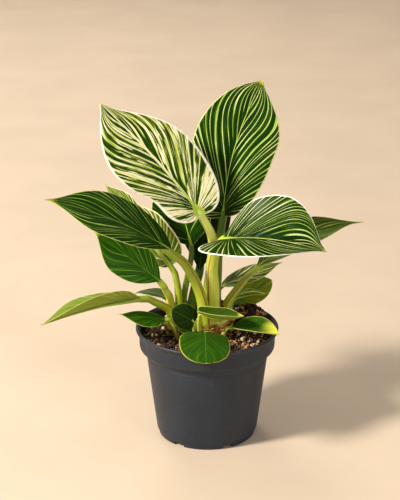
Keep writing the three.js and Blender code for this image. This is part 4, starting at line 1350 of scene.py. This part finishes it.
def make_sprig(material, rows=8, columns=4):
    """A seedling's sprig that lies on the mix: a thin stem with pairs of small pointed leaflets."""
    heap = Heap()
    heap.add(*rod(*SPRIG))
    quads = grid_faces(np.arange((rows + 1) * (columns + 1)).reshape(rows + 1, columns + 1))
    for k in range(LEAFLETS.count):
        at = spline(SPRIG[0], np.array([0.5 + 0.25 * k]))[0]
        turn = pi + (LEAFLETS.turn if k % 2 else -LEAFLETS.turn)
        ahead = np.array([cos(turn), sin(turn), 0.16])
        aside = np.array([-sin(turn), cos(turn), 0.1])
        for side in (LEAFLETS.thickness / 2, -LEAFLETS.thickness / 2):
            points = []
            for i, j in np.ndindex(rows + 1, columns + 1):
                u, w = i / rows, 2 * j / columns - 1
                wide = LEAFLETS.width * sin(pi * u**0.8)
                lift = side * (1 - abs(w)) * sin(pi * u) + 0.5 * abs(w) * wide * 0.4
                points.append(at + LEAFLETS.length * u * ahead + wide * w * aside + (0, 0, lift + 0.5 * u))
            heap.add(points, quads[:, ::-1] if side > 0 else quads)
    piece("mix_sprig", heap.points, heap.faces, "leaf_green", [material], merge=True)


def make_small_things():
    pink = growth("stick_skin", (0.24, 0.09, 0.05), (0.52, 0.26, 0.17), 0.6)
    dry = growth("dry_sheath", (0.030, 0.005, 0.004), (0.16, 0.030, 0.018), 0.6)
    young = growth("sprig_skin", (0.03, 0.12, 0.006), (0.08, 0.25, 0.015), 0.45)
    piece("mix_stick", *rod(*STICK), "potting_mix", [pink])
    piece("sheath_dry", *rod(*DRY_SHEATH), "stem", [dry])
    make_sprig(young)


make_small_things()

# ---------------- floor, light and camera

CAMERA = Sizes(place=(-6, -1304, 638), pitch=20, sensor=36)
FOCAL_PIXELS = 1678  # focal length, in pixels of the photo's long side
PHOTO_PIXELS = 500
FLOOR = 9000  # half of its side
FLOOR_COLOUR = (0.76, 0.60, 0.44)
AIM = (0, 0, 0.14)  # of the lights, in metres


def make_floor():
    corners = [(-FLOOR, -FLOOR, 0), (FLOOR, -FLOOR, 0), (FLOOR, FLOOR, 0), (-FLOOR, FLOOR, 0)]
    floor = mesh_object("floor", corners, [(0, 1, 2, 3)])
    darker = tuple(0.94 * c for c in FLOOR_COLOUR)
    floor.data.materials.append(speckled("floor_pale", darker, FLOOR_COLOUR, 0.8, (9.0, 3)))


def area_light(name, place, size, power, colour):
    """A round light, placed in metres."""
    data = bpy.data.lights.new(name, "AREA")
    data.shape = "DISK"
    data.size = size
    data.energy = power
    data.color = colour
    light = add_object(name, data)
    light.location = place
    light.rotation_mode = "QUATERNION"
    light.rotation_quaternion = (Vector(AIM) - Vector(place)).to_track_quat("-Z", "Y")


def make_light():
    world = bpy.data.worlds.new("room")
    world.use_nodes = True
    background = world.node_tree.nodes["Background"]
    background.inputs["Color"].default_value = (1.0, 0.96, 0.91, 1)
    background.inputs["Strength"].default_value = 0.34
    bpy.context.scene.world = world
    area_light("key", (-1.7, -0.9, 1.5), 0.45, 78, (1.0, 0.96, 0.88))
    area_light("fill", (1.3, -1.5, 0.9), 1.2, 10, (0.95, 0.97, 1.0))
    area_light("back", (-0.6, 1.6, 1.3), 1.0, 12, (1.0, 0.95, 0.88))


def make_camera():
    data = bpy.data.cameras.new("camera")
    data.sensor_fit = "AUTO"
    data.sensor_width = CAMERA.sensor
    data.lens = FOCAL_PIXELS / PHOTO_PIXELS * CAMERA.sensor
    camera = add_object("camera", data)
    camera.location = Vector(CAMERA.place) * MM
    camera.rotation_euler = (radians(90 - CAMERA.pitch), 0, 0)
    bpy.context.scene.camera = camera


make_floor()
make_light()
make_camera()
bpy.context.scene.view_settings.view_transform = "Standard"
